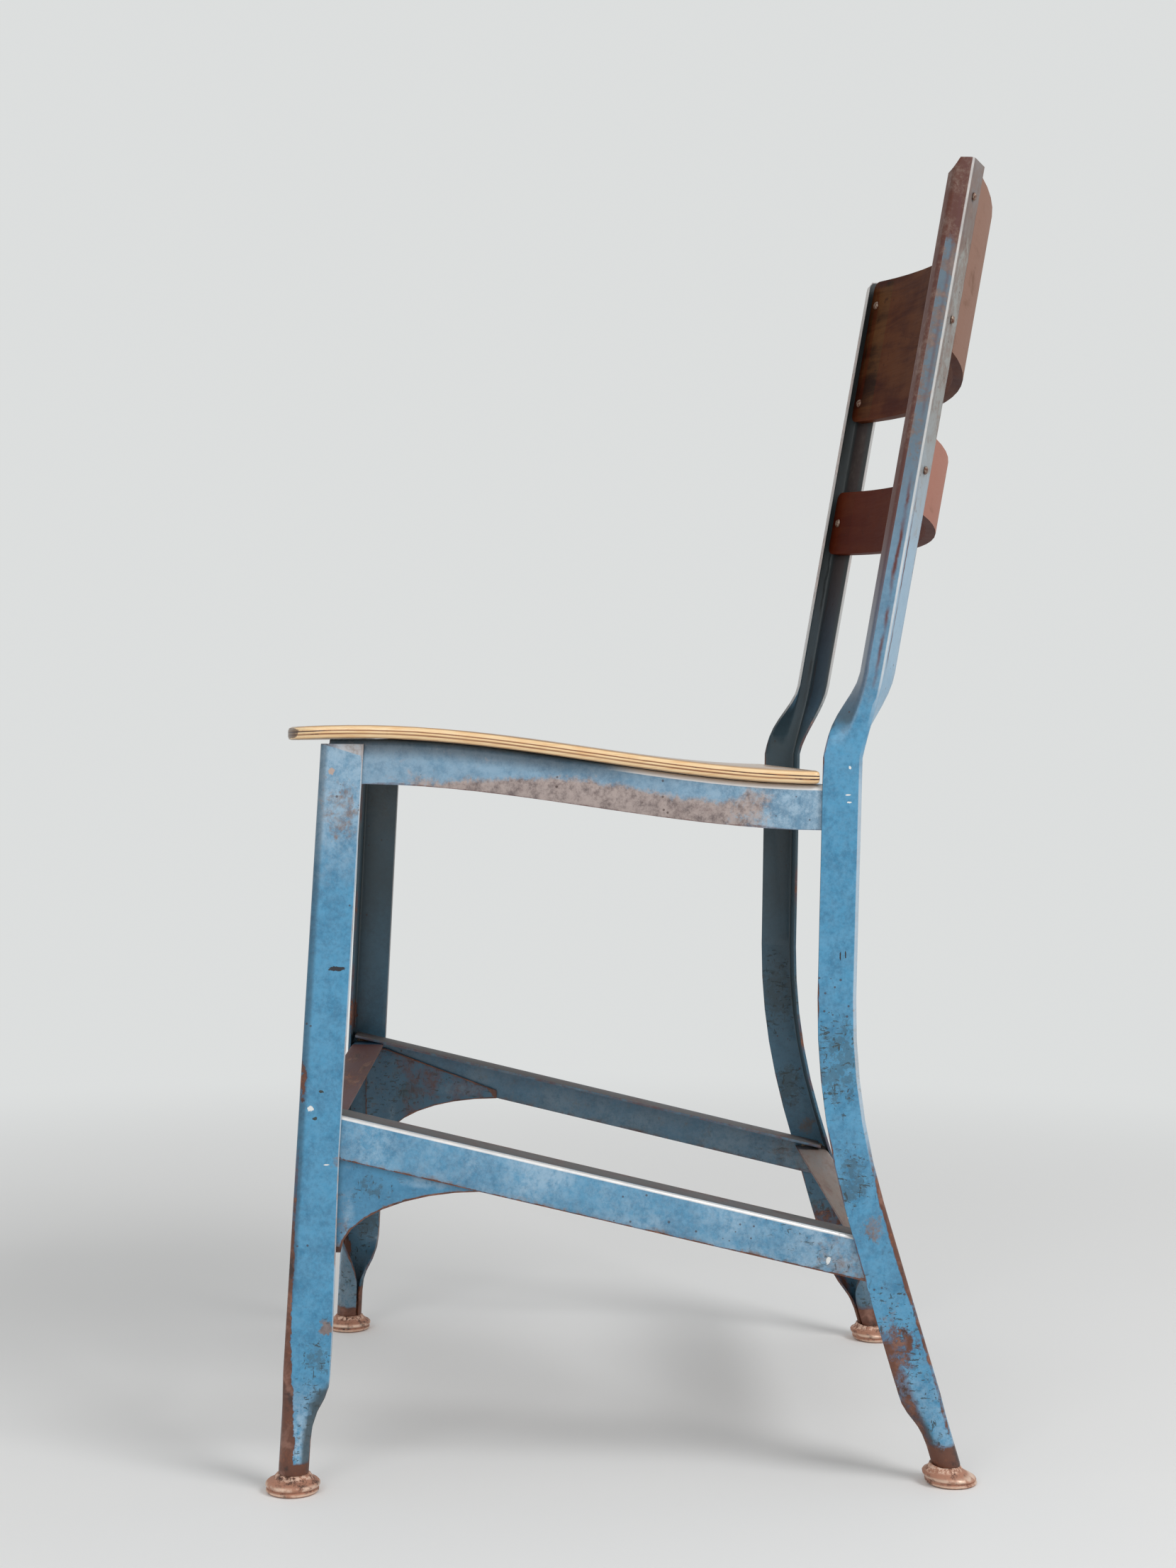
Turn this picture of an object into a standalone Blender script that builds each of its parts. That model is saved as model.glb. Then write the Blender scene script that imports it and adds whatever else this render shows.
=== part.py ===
"""Peeling paint chair: an industrial side chair of pressed sheet steel and bent plywood.

Metres, +Z up. The chair faces -Y and its left side is +X. The origin is on the floor in the
middle of the chair's box. Inside the functions, y starts at the front edge of the seat, and an
empty at the end moves the whole chair so that its box is centred.
"""
import math

import bmesh
import bpy
from mathutils import Matrix, Vector

# Fits
SHEET = 0.0018                   # wall of the pressed steel
FIT_GAP = 0.0003                 # air between two pieces that touch
LAYER = SHEET + FIT_GAP          # step from one lapped sheet to the next one inside it

# Rear legs: an angle, bent back at the knee, twisted above the seat into the back post
REAR_LEG_BACK_Y = 0.3476         # rear face of the upright part, from the front of the seat
REAR_LEG_HALF_WIDTH = 0.1940
REAR_LEG_FOOT_HALF_WIDTH = 0.1820
REAR_LEG_FLANGE = 0.0236
REAR_LEG_REAR_FLANGE = 0.0270
REAR_LEG_FLARE = 0.0014          # the side flange is this much wider just above its rolled end
REAR_LEG_ROLL_TOP = 0.0640       # the flanges start to roll in here
REAR_LEG_ROLL_END = 0.0230       # and are a round tube from here down
KNEE_HEIGHT = 0.3000             # the leg starts to bend back below this height
KNEE_RADIUS = 0.4200
LEG_SPLAY = math.radians(17.3)

# Front legs: the same angle, straight from the seat to the floor
FRONT_LEG_TOP_Y = 0.0218         # front face of the leg at the height of the seat frame
FRONT_LEG_FOOT_Y = 0.0002        # front face of the leg at the floor
FRONT_LEG_TOP_HALF_WIDTH = 0.1735
FRONT_LEG_FOOT_HALF_WIDTH = 0.2050
FRONT_LEG_FLANGE = 0.0262        # width of the side flange under the seat
FRONT_LEG_FRONT_FLANGE = 0.0280
FRONT_LEG_FLARE = 0.0024
FRONT_LEG_ROLL_TOP = 0.0800
FRONT_LEG_ROLL_END = 0.0300
FRONT_LEG_SEAT_CLEARANCE = 0.0030

# What both pairs of legs share
LEG_CORNER_RADIUS = 0.0030
LEG_FLARE_HEIGHT = 0.1000        # a side flange is widest here, just above its rolled end
LEG_TUBE_SLIT = 0.0026           # what stays open between the rolled edges
LEG_ROLL_SETTLE = 0.25           # share of the roll over which the fold becomes the tube's back

# Seat: one bent plywood board, high at the front and low at the back
SEAT_HEIGHT = 0.4625             # floor to the top of the seat at its front
SEAT_DROP = 0.0250               # how far the top falls towards the back
SEAT_THICKNESS = 0.0080
SEAT_REAR_CLEARANCE = 0.0006     # from the seat's back edge to the rear legs
SEAT_FRONT_OVERHANG = 0.0040     # past the outer side of a front leg
SEAT_REAR_OVERHANG = 0.0010      # past the outer side of a rear leg
SEAT_WAVE_START = 0.0500         # the fall starts here, from the front edge
SEAT_NOSE_DROOP = 0.0018         # the front edge turns down by this much
SEAT_FRONT_CORNER = 0.0220
SEAT_REAR_CORNER = 0.0060
SEAT_EDGE_ROUND = 0.0022
SEAT_LENGTH = REAR_LEG_BACK_Y - REAR_LEG_FLANGE - SEAT_REAR_CLEARANCE

# Back posts
POST_HEIGHT = 0.8040
POST_LEAN = math.radians(9.3)
POST_KICK = 0.0030               # extra step back in the twist
POST_TWIST_START = 0.0080        # above the back of the seat
POST_TWIST_LENGTH = 0.0520
POST_WEB = 0.0112                # side of the post between its two folds
POST_LIP_FOLD = math.radians(85.0)
POST_FLANGE_TWIST = math.radians(23.0)
POST_TOP_CHAMFER = 0.0065        # height of the cut across the front top corner

# Seat frame under the board
RAIL_HEIGHT = 0.0275
RAIL_FLANGE = 0.0220
RAIL_CORNER_RADIUS = 0.0045
REAR_RAIL_FLANGE = 0.0320

# Stretchers
STRETCHER_FRONT_HEIGHT = 0.2262  # top of the side stretcher at the back edge of the front leg
STRETCHER_REAR_HEIGHT = 0.1545   # top of the side stretcher at the front edge of the rear leg
STRETCHER_WEB = 0.0262
STRETCHER_FLANGE = 0.0260
STRETCHER_CORNER_RADIUS = 0.0024

# Arched gussets under the side stretchers
GUSSET_REACH = 0.0850            # from the back edge of the front leg to the end of the arch
GUSSET_DROP = 0.0560             # from the lower edge of the stretcher to its foot on the leg
GUSSET_RISE = 0.0180             # how far it reaches up behind the stretcher, at the leg
GUSSET_END_RISE = 0.0060         # and at the end of the arch
GUSSET_LAP = 0.0150              # how far it reaches in behind the front leg

# Foot glides
GLIDE_RADIUS = 0.0165
GLIDE_RIM = 0.0050               # height of the disc's edge
GLIDE_EDGE_ROUND = 0.0012
GLIDE_HEIGHT = 0.0112            # top of the shoulder, which the leg's tube stands on
GLIDE_DISH_REACH = 0.35          # the dished top's low point, from the shoulder to the rim
GLIDE_DISH_RISE = 0.60           # and its height, from the rim to the shoulder
GLIDE_STEM_HEIGHT = 0.0220
GLIDE_STEM_CLEARANCE = 0.0008
REAR_GLIDE_TILT = 0.33           # share by which the rear glides are thicker at their front rim

# Back slats
SLAT_THICKNESS = 0.0065
SLAT_END_CLEARANCE = 0.0030      # from the slat's end to the inside of the post
SLAT_CORNER = 0.0060
UPPER_SLAT_DOWN = 0.0020         # from the top of the posts to the upper slat
UPPER_SLAT_HEIGHT = 0.1070
SLAT_SPACING = 0.0520            # between the two slats
LOWER_SLAT_HEIGHT = 0.0470
UPPER_SLAT_TOP = POST_HEIGHT - UPPER_SLAT_DOWN
LOWER_SLAT_TOP = UPPER_SLAT_TOP - UPPER_SLAT_HEIGHT - SLAT_SPACING

# Fasteners
RIVET_FROM_CREASE = 0.0130       # along the post's rear flange
RIVET_HEAD_RADIUS = 0.0035
RIVET_TAIL_RADIUS = 0.0030
RIVET_HEAD_HEIGHT = 0.0013
RIVET_SHANK_RADIUS = 0.0020
RIVET_CROWN = 0.60               # share of the head's radius that its flat crown takes
UPPER_RIVET_FROM_TOP = 0.0185
UPPER_RIVET_FROM_BOTTOM = 0.0140
SCREW_HEAD_RADIUS = 0.0040
SCREW_HEAD_HEIGHT = 0.0022
SCREW_SHANK_RADIUS = 0.0018
SCREW_CROWN = 0.80
SCREW_GRIP = 0.0045              # depth of the screw in the seat
SCREW_FRONT_Y = 0.0700
SCREW_REAR_Y = 0.2900
DRILL_RUN = 0.0040               # how far a hole is cut clear of the sheet

# Fineness of the meshes
BEND_STEPS = 4
RUN_STEPS = 4
EDGE_STEPS = 2
ARCH_STEPS = 8
GLIDE_SIDES = 20
FASTENER_SIDES = 10
SEAT_CUTS = 22
RAIL_CUTS = 16
ROLL_CUTS = 6
KNEE_CUTS = 5
TWIST_CUTS = 8
SLAT_CUTS = 16
SMOOTH_ANGLE = math.radians(35.0)
SAME_PLACE = 1e-6                # points closer than this are one point
SLOPE_STEP = 0.001               # height over which a leg's slope is measured

# Plain colours, linear
BLUE_PAINT = (0.060, 0.215, 0.390)
RUST_BROWN = (0.120, 0.055, 0.035)
SEAT_WOOD = (0.520, 0.340, 0.170)
SLAT_WOOD = (0.190, 0.070, 0.040)
WORN_STEEL = (0.300, 0.260, 0.220)

SIDES = (("left", 1.0), ("right", -1.0))


def between(low, high, share):
    return low + (high - low) * share


def eased(share):
    share = min(max(share, 0.0), 1.0)
    return share * share * (3.0 - 2.0 * share)


def steps(low, high, count):
    return [between(low, high, index / count) for index in range(count + 1)]


# Where the chair's faces run

def seat_top(y):
    fall = eased((y - SEAT_WAVE_START) / (SEAT_LENGTH - SEAT_WAVE_START))
    nose = max(1.0 - y / SEAT_WAVE_START, 0.0)
    return SEAT_HEIGHT - SEAT_DROP * fall - SEAT_NOSE_DROOP * nose * nose


def seat_underside(y):
    return seat_top(y) - SEAT_THICKNESS


FRAME_TOP = seat_underside(FRONT_LEG_TOP_Y)
SEAT_REAR_TOP = SEAT_HEIGHT - SEAT_DROP


def front_face(z):
    return between(FRONT_LEG_FOOT_Y, FRONT_LEG_TOP_Y, z / FRAME_TOP)


def front_half_width(z):
    return between(FRONT_LEG_FOOT_HALF_WIDTH, FRONT_LEG_TOP_HALF_WIDTH, z / FRAME_TOP)


def post_offset(z):
    rise = z - SEAT_REAR_TOP
    kick = POST_KICK * eased(rise / (POST_TWIST_START + POST_TWIST_LENGTH))
    return max(rise, 0.0) * math.tan(POST_LEAN) + kick


def knee_offset(z):
    arc_height = KNEE_RADIUS * math.sin(LEG_SPLAY)
    below = max(KNEE_HEIGHT - z, 0.0)
    if below < arc_height:
        return KNEE_RADIUS - math.sqrt(KNEE_RADIUS ** 2 - below ** 2)
    arc_depth = KNEE_RADIUS * (1.0 - math.cos(LEG_SPLAY))
    return arc_depth + (below - arc_height) * math.tan(LEG_SPLAY)


def rear_face(z):
    return REAR_LEG_BACK_Y + knee_offset(z) + post_offset(z)


def rear_half_width(z):
    share = min(z / SEAT_REAR_TOP, 1.0)
    return between(REAR_LEG_FOOT_HALF_WIDTH, REAR_LEG_HALF_WIDTH, share)


def rear_slope(z):
    run = rear_face(z + SLOPE_STEP) - rear_face(z - SLOPE_STEP)
    return math.atan(run / (2.0 * SLOPE_STEP))


def leg_edges(z):
    """Back edge of the front leg's side flange and front edge of the rear leg's, at most."""
    front_edge = front_face(z) + FRONT_LEG_FLANGE + FRONT_LEG_FLARE
    rear_edge = rear_face(z) - (REAR_LEG_FLANGE + REAR_LEG_FLARE) / math.cos(rear_slope(z))
    return front_edge, rear_edge


def side_face(y, z):
    """Outer side of the chair: flat along each leg, straight from one leg to the other."""
    start, end = leg_edges(z)
    share = min(max((y - start) / (end - start), 0.0), 1.0)
    return between(front_half_width(z), rear_half_width(z), share)


# Sections of bent sheet

def walk(heading, pieces):
    """Outer and inner lines of a sheet that turns left along (length, turn, count) pieces."""
    x, y = 0.0, 0.0
    outer, inner = [], []

    def mark():
        outer.append((x, y))
        inner.append((x - SHEET * math.sin(heading), y + SHEET * math.cos(heading)))

    mark()
    for length, turn, count in pieces:
        for _ in range(count):
            heading += turn / count / 2.0
            x += length / count * math.cos(heading)
            y += length / count * math.sin(heading)
            heading += turn / count / 2.0
            mark()
    return outer, inner


CORNER_ZONE = LEG_CORNER_RADIUS * math.pi / 2.0


def leg_section(side_pieces, corner, flange, roll):
    """Outer and inner lines of a leg, in x (0 at its outside) and y (0 at its corner).

    The side flange comes first, from its free edge to the corner. As roll goes from 0 to 1
    the flat parts curl evenly, until the whole section is a slit tube.
    """
    flange_run = flange - LEG_CORNER_RADIUS
    pieces = [*side_pieces, (CORNER_ZONE, corner, BEND_STEPS), (flange_run, 0.0, RUN_STEPS)]
    whole = sum(length for length, _, _ in pieces)
    full_turn = 2.0 * math.pi * (whole - LEG_TUBE_SLIT) / whole
    pieces = [
        (length, between(turn, full_turn * length / whole, roll), count)
        for length, turn, count in pieces
    ]
    side_count = len(side_pieces)
    side_turn = sum(turn for _, turn, _ in pieces[:side_count])
    corner_turn = pieces[side_count][1]
    before_flange = between(corner, math.pi / 2.0, roll)
    heading = math.pi / 2.0 + before_flange / 2.0 - corner_turn / 2.0 - side_turn
    outer, inner = walk(heading, pieces)
    bend_start = outer[sum(count for _, _, count in side_pieces)]
    crease = bend_start[1] + CORNER_ZONE / corner * math.tan(corner / 2.0)
    rearmost = max(point[1] for point in outer)
    right = max(point[0] for point in outer)
    back = between(crease, rearmost, min(roll / LEG_ROLL_SETTLE, 1.0))

    def placed(line):
        return [(point[0] - right, point[1] - back) for point in line]

    return placed(outer), placed(inner)


def angle_section(flange, web, radius):
    """Outer and inner lines of an angle: u runs in from its corner, v down from its top."""
    angles = steps(math.pi, 1.5 * math.pi, BEND_STEPS)

    def line(reach):
        arc = [(radius + reach * math.cos(a), radius + reach * math.sin(a)) for a in angles]
        edge = radius - reach
        return [(edge, web)] + arc + [(flange, edge)]

    return line(radius), line(radius - SHEET)


# Building blocks

def tidy_mesh(bm):
    bmesh.ops.recalc_face_normals(bm, faces=bm.faces)
    if bm.calc_volume(signed=True) < 0.0:
        bmesh.ops.reverse_faces(bm, faces=bm.faces)


def add_object(name, bm, finish):
    tidy_mesh(bm)
    mesh = bpy.data.meshes.new(name)
    bm.to_mesh(mesh)
    bm.free()
    mesh.shade_smooth()
    mesh.set_sharp_from_angle(angle=SMOOTH_ANGLE)
    piece = bpy.data.objects.new(name, mesh)
    bpy.context.scene.collection.objects.link(piece)
    mesh.materials.append(make_finish(name, *finish))
    return piece


def make_finish(name, colour, roughness, metallic):
    material = bpy.data.materials.new(name + "_finish")
    material.use_nodes = True
    shader = material.node_tree.nodes["Principled BSDF"]
    shader.inputs["Base Color"].default_value = (*colour, 1.0)
    shader.inputs["Roughness"].default_value = roughness
    shader.inputs["Metallic"].default_value = metallic
    return material


PAINTED = (BLUE_PAINT, 0.45, 0.0)
RUSTED = (RUST_BROWN, 0.75, 0.3)
BOARD = (SEAT_WOOD, 0.35, 0.0)
SLATS = (SLAT_WOOD, 0.45, 0.0)
BARE_STEEL = (WORN_STEEL, 0.5, 0.8)


def bent_sheet(stations):
    """Solid through stations, each the outer and the inner line of a sheet's section."""
    bm = bmesh.new()
    rings = []
    for outer, inner in stations:
        outer_verts = [bm.verts.new(point) for point in outer]
        inner_verts = [bm.verts.new(point) for point in inner]
        rings.append((outer_verts, inner_verts))
    for (outer_a, inner_a), (outer_b, inner_b) in zip(rings, rings[1:]):
        ring_a = outer_a + inner_a[::-1]
        ring_b = outer_b + inner_b[::-1]
        for index, corner in enumerate(ring_a):
            after = (index + 1) % len(ring_a)
            bm.faces.new((corner, ring_a[after], ring_b[after], ring_b[index]))
    for outer_verts, inner_verts in (rings[0], rings[-1]):
        for index in range(len(outer_verts) - 1):
            after = index + 1
            quad = (outer_verts[index], outer_verts[after], inner_verts[after], inner_verts[index])
            bm.faces.new(quad)
    return bm


def rounded_outline(corners):
    """Outline from (x, y, radius) corners given anticlockwise, with arcs at the corners."""
    points = []
    count = len(corners)
    for index, (x, y, radius) in enumerate(corners):
        before = corners[index - 1]
        after = corners[(index + 1) % count]
        to_before = math.atan2(before[1] - y, before[0] - x)
        to_after = math.atan2(after[1] - y, after[0] - x)
        opening = abs((to_before - to_after + math.pi) % (2.0 * math.pi) - math.pi)
        if radius == 0.0:
            points.append((x, y))
            continue
        reach = radius / math.tan(opening / 2.0)
        start = (x + reach * math.cos(to_before), y + reach * math.sin(to_before))
        middle_heading = math.atan2(
            math.sin(to_before) + math.sin(to_after), math.cos(to_before) + math.cos(to_after))
        centre_reach = radius / math.sin(opening / 2.0)
        centre = (x + centre_reach * math.cos(middle_heading),
                  y + centre_reach * math.sin(middle_heading))
        first = math.atan2(start[1] - centre[1], start[0] - centre[0])
        sweep = math.pi - opening
        for angle in steps(first, first + sweep, BEND_STEPS):
            points.append((centre[0] + radius * math.cos(angle),
                           centre[1] + radius * math.sin(angle)))
    return points


def bent_board(outline, thickness, cuts, edge_round, shape):
    """Flat board of an outline, cut across at some places along it, then bent by a function."""
    bm = bmesh.new()
    face = bm.faces.new([bm.verts.new((u, v, 0.0)) for u, v in outline])
    swept = bmesh.ops.extrude_face_region(bm, geom=[face])
    top = [item for item in swept["geom"] if isinstance(item, bmesh.types.BMVert)]
    bmesh.ops.translate(bm, verts=top, vec=(0.0, 0.0, thickness))
    tidy_mesh(bm)
    if edge_round > 0.0:
        rims = [
            edge for edge in bm.edges
            if abs(edge.verts[0].co.z - edge.verts[1].co.z) < SAME_PLACE
        ]
        bmesh.ops.bevel(bm, geom=rims, offset=edge_round, segments=EDGE_STEPS, profile=0.5,
                        affect="EDGES", clamp_overlap=True)
    for cut in cuts:
        everything = bm.verts[:] + bm.edges[:] + bm.faces[:]
        bmesh.ops.bisect_plane(bm, geom=everything, plane_co=(cut, 0.0, 0.0),
                               plane_no=(1.0, 0.0, 0.0))
    for vert in bm.verts:
        vert.co = shape(*vert.co)
    return bm


def lathe(profile, sides):
    """Solid of (radius, z) points that start and end on the axis."""
    bm = bmesh.new()
    verts = [bm.verts.new((radius, 0.0, z)) for radius, z in profile]
    edges = [bm.edges.new(pair) for pair in zip(verts, verts[1:])]
    bmesh.ops.spin(bm, geom=verts + edges, cent=(0.0, 0.0, 0.0), axis=(0.0, 0.0, 1.0),
                   angle=2.0 * math.pi, steps=sides, use_merge=True)
    bmesh.ops.remove_doubles(bm, verts=bm.verts, dist=SAME_PLACE)
    return bm


def along(origin, heading):
    """Matrix that takes the +Z axis to a heading at an origin."""
    return Matrix.Translation(origin) @ Vector(heading).to_track_quat("Z", "Y").to_matrix().to_4x4()


def drill(piece, places, radius, depth):
    """Cut round holes of a depth at (origin, heading) places."""
    bm = bmesh.new()
    for origin, heading in places:
        centred = along(origin, heading) @ Matrix.Translation((0.0, 0.0, depth / 2.0))
        bmesh.ops.create_cone(bm, cap_ends=True, segments=FASTENER_SIDES, radius1=radius,
                              radius2=radius, depth=depth, matrix=centred)
    tidy_mesh(bm)
    mesh = bpy.data.meshes.new(piece.name + "_holes")
    bm.to_mesh(mesh)
    bm.free()
    cutter = bpy.data.objects.new(piece.name + "_holes", mesh)
    bpy.context.scene.collection.objects.link(cutter)
    cutter.hide_render = True
    cutter.display_type = "WIRE"
    holes = piece.modifiers.new("holes", "BOOLEAN")
    holes.operation = "DIFFERENCE"
    holes.object = cutter
    return cutter


# Legs

def flare_share(z):
    return 1.0 - eased((z - LEG_FLARE_HEIGHT) / LEG_FLARE_HEIGHT)


def roll_at(z, end, top):
    """How far a leg's flanges are rolled in: 1 from its end down, 0 from its top up."""
    return 1.0 - eased((z - end) / (top - end))


def front_leg_section(z):
    side_run = FRONT_LEG_FLANGE + FRONT_LEG_FLARE * flare_share(z) - LEG_CORNER_RADIUS
    side_pieces = [(side_run, 0.0, 2 * RUN_STEPS)]
    roll = roll_at(z, FRONT_LEG_ROLL_END, FRONT_LEG_ROLL_TOP)
    return leg_section(side_pieces, math.pi / 2.0, FRONT_LEG_FRONT_FLANGE, roll)


def front_leg(name, sign):
    top = FRAME_TOP - FRONT_LEG_SEAT_CLEARANCE
    levels = [GLIDE_HEIGHT + FIT_GAP]
    levels += steps(FRONT_LEG_ROLL_END, FRONT_LEG_ROLL_TOP, ROLL_CUTS)
    levels += [LEG_FLARE_HEIGHT, 2.0 * LEG_FLARE_HEIGHT, top]
    stations = []
    for z in levels:
        side, front = front_half_width(z), front_face(z)
        stations.append([
            [(sign * (side + x), front - y, z) for x, y in line]
            for line in front_leg_section(z)
        ])
    return add_object(name, bent_sheet(stations), PAINTED)


def rear_leg_section(z):
    """Below the seat a plain angle, above it a post with a folded lip and a turned flange."""
    twist = eased((z - SEAT_REAR_TOP - POST_TWIST_START) / POST_TWIST_LENGTH)
    corner = math.pi / 2.0 - POST_FLANGE_TWIST * twist
    fold_zone = LEG_CORNER_RADIUS * POST_LIP_FOLD
    fold_cut = LEG_CORNER_RADIUS * math.tan(POST_LIP_FOLD / 2.0)
    web_run = POST_WEB - fold_cut - LEG_CORNER_RADIUS
    side_run = REAR_LEG_FLANGE + REAR_LEG_FLARE * flare_share(z) - LEG_CORNER_RADIUS
    side_pieces = [
        (side_run - web_run - fold_zone, 0.0, RUN_STEPS),
        (fold_zone, POST_LIP_FOLD * twist, BEND_STEPS),
        (web_run, 0.0, RUN_STEPS),
    ]
    roll = roll_at(z, REAR_LEG_ROLL_END, REAR_LEG_ROLL_TOP)
    return leg_section(side_pieces, corner, REAR_LEG_REAR_FLANGE, roll)


def rear_leg_levels():
    twist_start = SEAT_REAR_TOP + POST_TWIST_START
    arc_end = KNEE_HEIGHT - KNEE_RADIUS * math.sin(LEG_SPLAY)
    levels = [GLIDE_HEIGHT + FIT_GAP]
    levels += steps(REAR_LEG_ROLL_END, REAR_LEG_ROLL_TOP, ROLL_CUTS)
    levels += [LEG_FLARE_HEIGHT]
    levels += steps(arc_end, KNEE_HEIGHT, KNEE_CUTS)
    levels += steps(twist_start, twist_start + POST_TWIST_LENGTH, TWIST_CUTS)
    levels += [POST_HEIGHT]
    return levels


def chamfer_down(z, y):
    """How far a post's front top corner is cut down over its fold, at y from its crease."""
    if z < POST_HEIGHT:
        return 0.0
    fold_start = POST_WEB - LEG_CORNER_RADIUS
    return POST_TOP_CHAMFER * min(max((-y - fold_start) / LEG_CORNER_RADIUS, 0.0), 1.0)


def rear_leg(name, sign):
    stations = []
    for level in rear_leg_levels():
        stretch = 1.0 / math.cos(rear_slope(level))
        station = []
        for line in rear_leg_section(level):
            points = []
            for x, y in line:
                z = level - chamfer_down(level, y)
                points.append((sign * (rear_half_width(z) + x), rear_face(z) + y * stretch, z))
            station.append(points)
        stations.append(station)
    return add_object(name, bent_sheet(stations), PAINTED)


# Members that run front to back along a side

def side_member(sign, y_values, top_of, side_of, section):
    """Angle along a side, from its stations, its top, its outer side and its section."""
    stations = []
    for y in y_values:
        top = top_of(y)
        stations.append([
            [(sign * (side_of(y, top - v) - LAYER - u), y, top - v) for u, v in line]
            for line in section
        ])
    return bent_sheet(stations)


def rail_top(y):
    return seat_underside(y) - FIT_GAP


CORNER_CLEARANCE = LAYER + LEG_CORNER_RADIUS    # clear of the round inside a leg's corner
RAIL_FRONT_Y = front_face(FRAME_TOP) + CORNER_CLEARANCE
RAIL_REAR_Y = REAR_LEG_BACK_Y - CORNER_CLEARANCE


def seat_rail(name, sign):
    front_edge, rear_edge = leg_edges(FRAME_TOP)
    places = [RAIL_FRONT_Y] + steps(front_edge, rear_edge, RAIL_CUTS) + [RAIL_REAR_Y]
    section = angle_section(RAIL_FLANGE, RAIL_HEIGHT, RAIL_CORNER_RADIUS)
    bm = side_member(sign, places, rail_top, side_face, section)
    return add_object(name, bm, PAINTED)


STRETCHER_FRONT_Y = front_face(STRETCHER_FRONT_HEIGHT) + FRONT_LEG_FLANGE
STRETCHER_REAR_Y = rear_face(STRETCHER_REAR_HEIGHT) - REAR_LEG_FLANGE / math.cos(LEG_SPLAY)


def stretcher_top(y):
    share = (y - STRETCHER_FRONT_Y) / (STRETCHER_REAR_Y - STRETCHER_FRONT_Y)
    return between(STRETCHER_FRONT_HEIGHT, STRETCHER_REAR_HEIGHT, share)


def stretcher_edges():
    front_edge, _ = leg_edges(STRETCHER_FRONT_HEIGHT)
    _, rear_edge = leg_edges(STRETCHER_REAR_HEIGHT)
    return front_edge, rear_edge


def stretcher_side(y, z):
    """Outer side at the stretcher: flat along each leg, and a straight run between them."""
    front_edge, rear_edge = stretcher_edges()
    if y <= front_edge:
        return front_half_width(z)
    if y >= rear_edge:
        return rear_half_width(z)
    down = stretcher_top(y) - z
    at_front = front_half_width(stretcher_top(front_edge) - down)
    at_rear = rear_half_width(stretcher_top(rear_edge) - down)
    return between(at_front, at_rear, (y - front_edge) / (rear_edge - front_edge))


def side_stretcher(name, sign):
    start = front_face(STRETCHER_FRONT_HEIGHT) + CORNER_CLEARANCE
    end = rear_face(STRETCHER_REAR_HEIGHT) - CORNER_CLEARANCE / math.cos(LEG_SPLAY)
    places = [start, *stretcher_edges(), end]
    section = angle_section(STRETCHER_FLANGE, STRETCHER_WEB, STRETCHER_CORNER_RADIUS)
    bm = side_member(sign, places, stretcher_top, stretcher_side, section)
    return add_object(name, bm, PAINTED)


# Members that run across

def cross_member(top, flange, web, radius, place):
    """Angle across the chair, its ends clear of the round inside the side members' corners."""
    stations = []
    for share in (-1.0, 1.0):
        station = []
        for line in angle_section(flange, web, radius):
            points = []
            for u, v in line:
                y = place(u, top - v)
                half_span = side_face(y, top - v) - 2.0 * LAYER - (radius - SHEET)
                points.append((share * half_span, y, top - v))
            station.append(points)
        stations.append(station)
    return bent_sheet(stations)


def behind_front_legs(u, z):
    return front_face(z) + LAYER + u


def before_rear_legs(u, z):
    return rear_face(z) - LAYER / math.cos(rear_slope(z)) - u


def front_seat_rail(name):
    top = rail_top(RAIL_FRONT_Y) - LAYER
    bm = cross_member(top, RAIL_FLANGE, RAIL_HEIGHT, RAIL_CORNER_RADIUS, behind_front_legs)
    return add_object(name, bm, PAINTED)


def rear_seat_rail(name):
    top = rail_top(RAIL_REAR_Y) - LAYER
    bm = cross_member(top, REAR_RAIL_FLANGE, RAIL_HEIGHT, RAIL_CORNER_RADIUS, before_rear_legs)
    return add_object(name, bm, PAINTED)


def front_stretcher(name):
    top = stretcher_top(STRETCHER_FRONT_Y) - LAYER
    flange = STRETCHER_FRONT_Y - front_face(top) - LAYER
    bm = cross_member(top, flange, STRETCHER_WEB, STRETCHER_CORNER_RADIUS, behind_front_legs)
    return add_object(name, bm, PAINTED)


def rear_stretcher(name):
    slope = (STRETCHER_FRONT_HEIGHT - STRETCHER_REAR_HEIGHT) / (STRETCHER_REAR_Y - STRETCHER_FRONT_Y)
    end = rear_face(STRETCHER_REAR_HEIGHT)
    top = stretcher_top(end) - LAYER * math.sqrt(1.0 + slope ** 2)
    flange = end - STRETCHER_REAR_Y - LAYER
    bm = cross_member(top, flange, STRETCHER_WEB, STRETCHER_CORNER_RADIUS, before_rear_legs)
    return add_object(name, bm, PAINTED)


# Gussets

def gusset(name, sign):
    leg_edge = STRETCHER_FRONT_Y
    under = stretcher_top(leg_edge) - STRETCHER_WEB
    reach = leg_edge + GUSSET_REACH
    under_reach = stretcher_top(reach) - STRETCHER_WEB
    foot = under - GUSSET_DROP
    leg_lap = leg_edge - GUSSET_LAP
    arch = []
    for angle in steps(0.0, math.pi / 2.0, ARCH_STEPS):
        y = between(reach, leg_edge, math.sin(angle))
        z = between(foot, under_reach, math.cos(angle))
        arch.append((y, z))
    outline = [(leg_lap, foot), (leg_lap, under + GUSSET_RISE), (leg_edge, under + GUSSET_RISE),
               (reach, under_reach + GUSSET_END_RISE)] + arch
    outline.reverse()

    def shape(y, z, depth):
        return (sign * (stretcher_side(y, z) - 2.0 * LAYER - depth), y, z)

    bm = bent_board(outline, SHEET, [stretcher_edges()[0]], 0.0, shape)
    return add_object(name, bm, PAINTED)


# Foot glides

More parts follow.
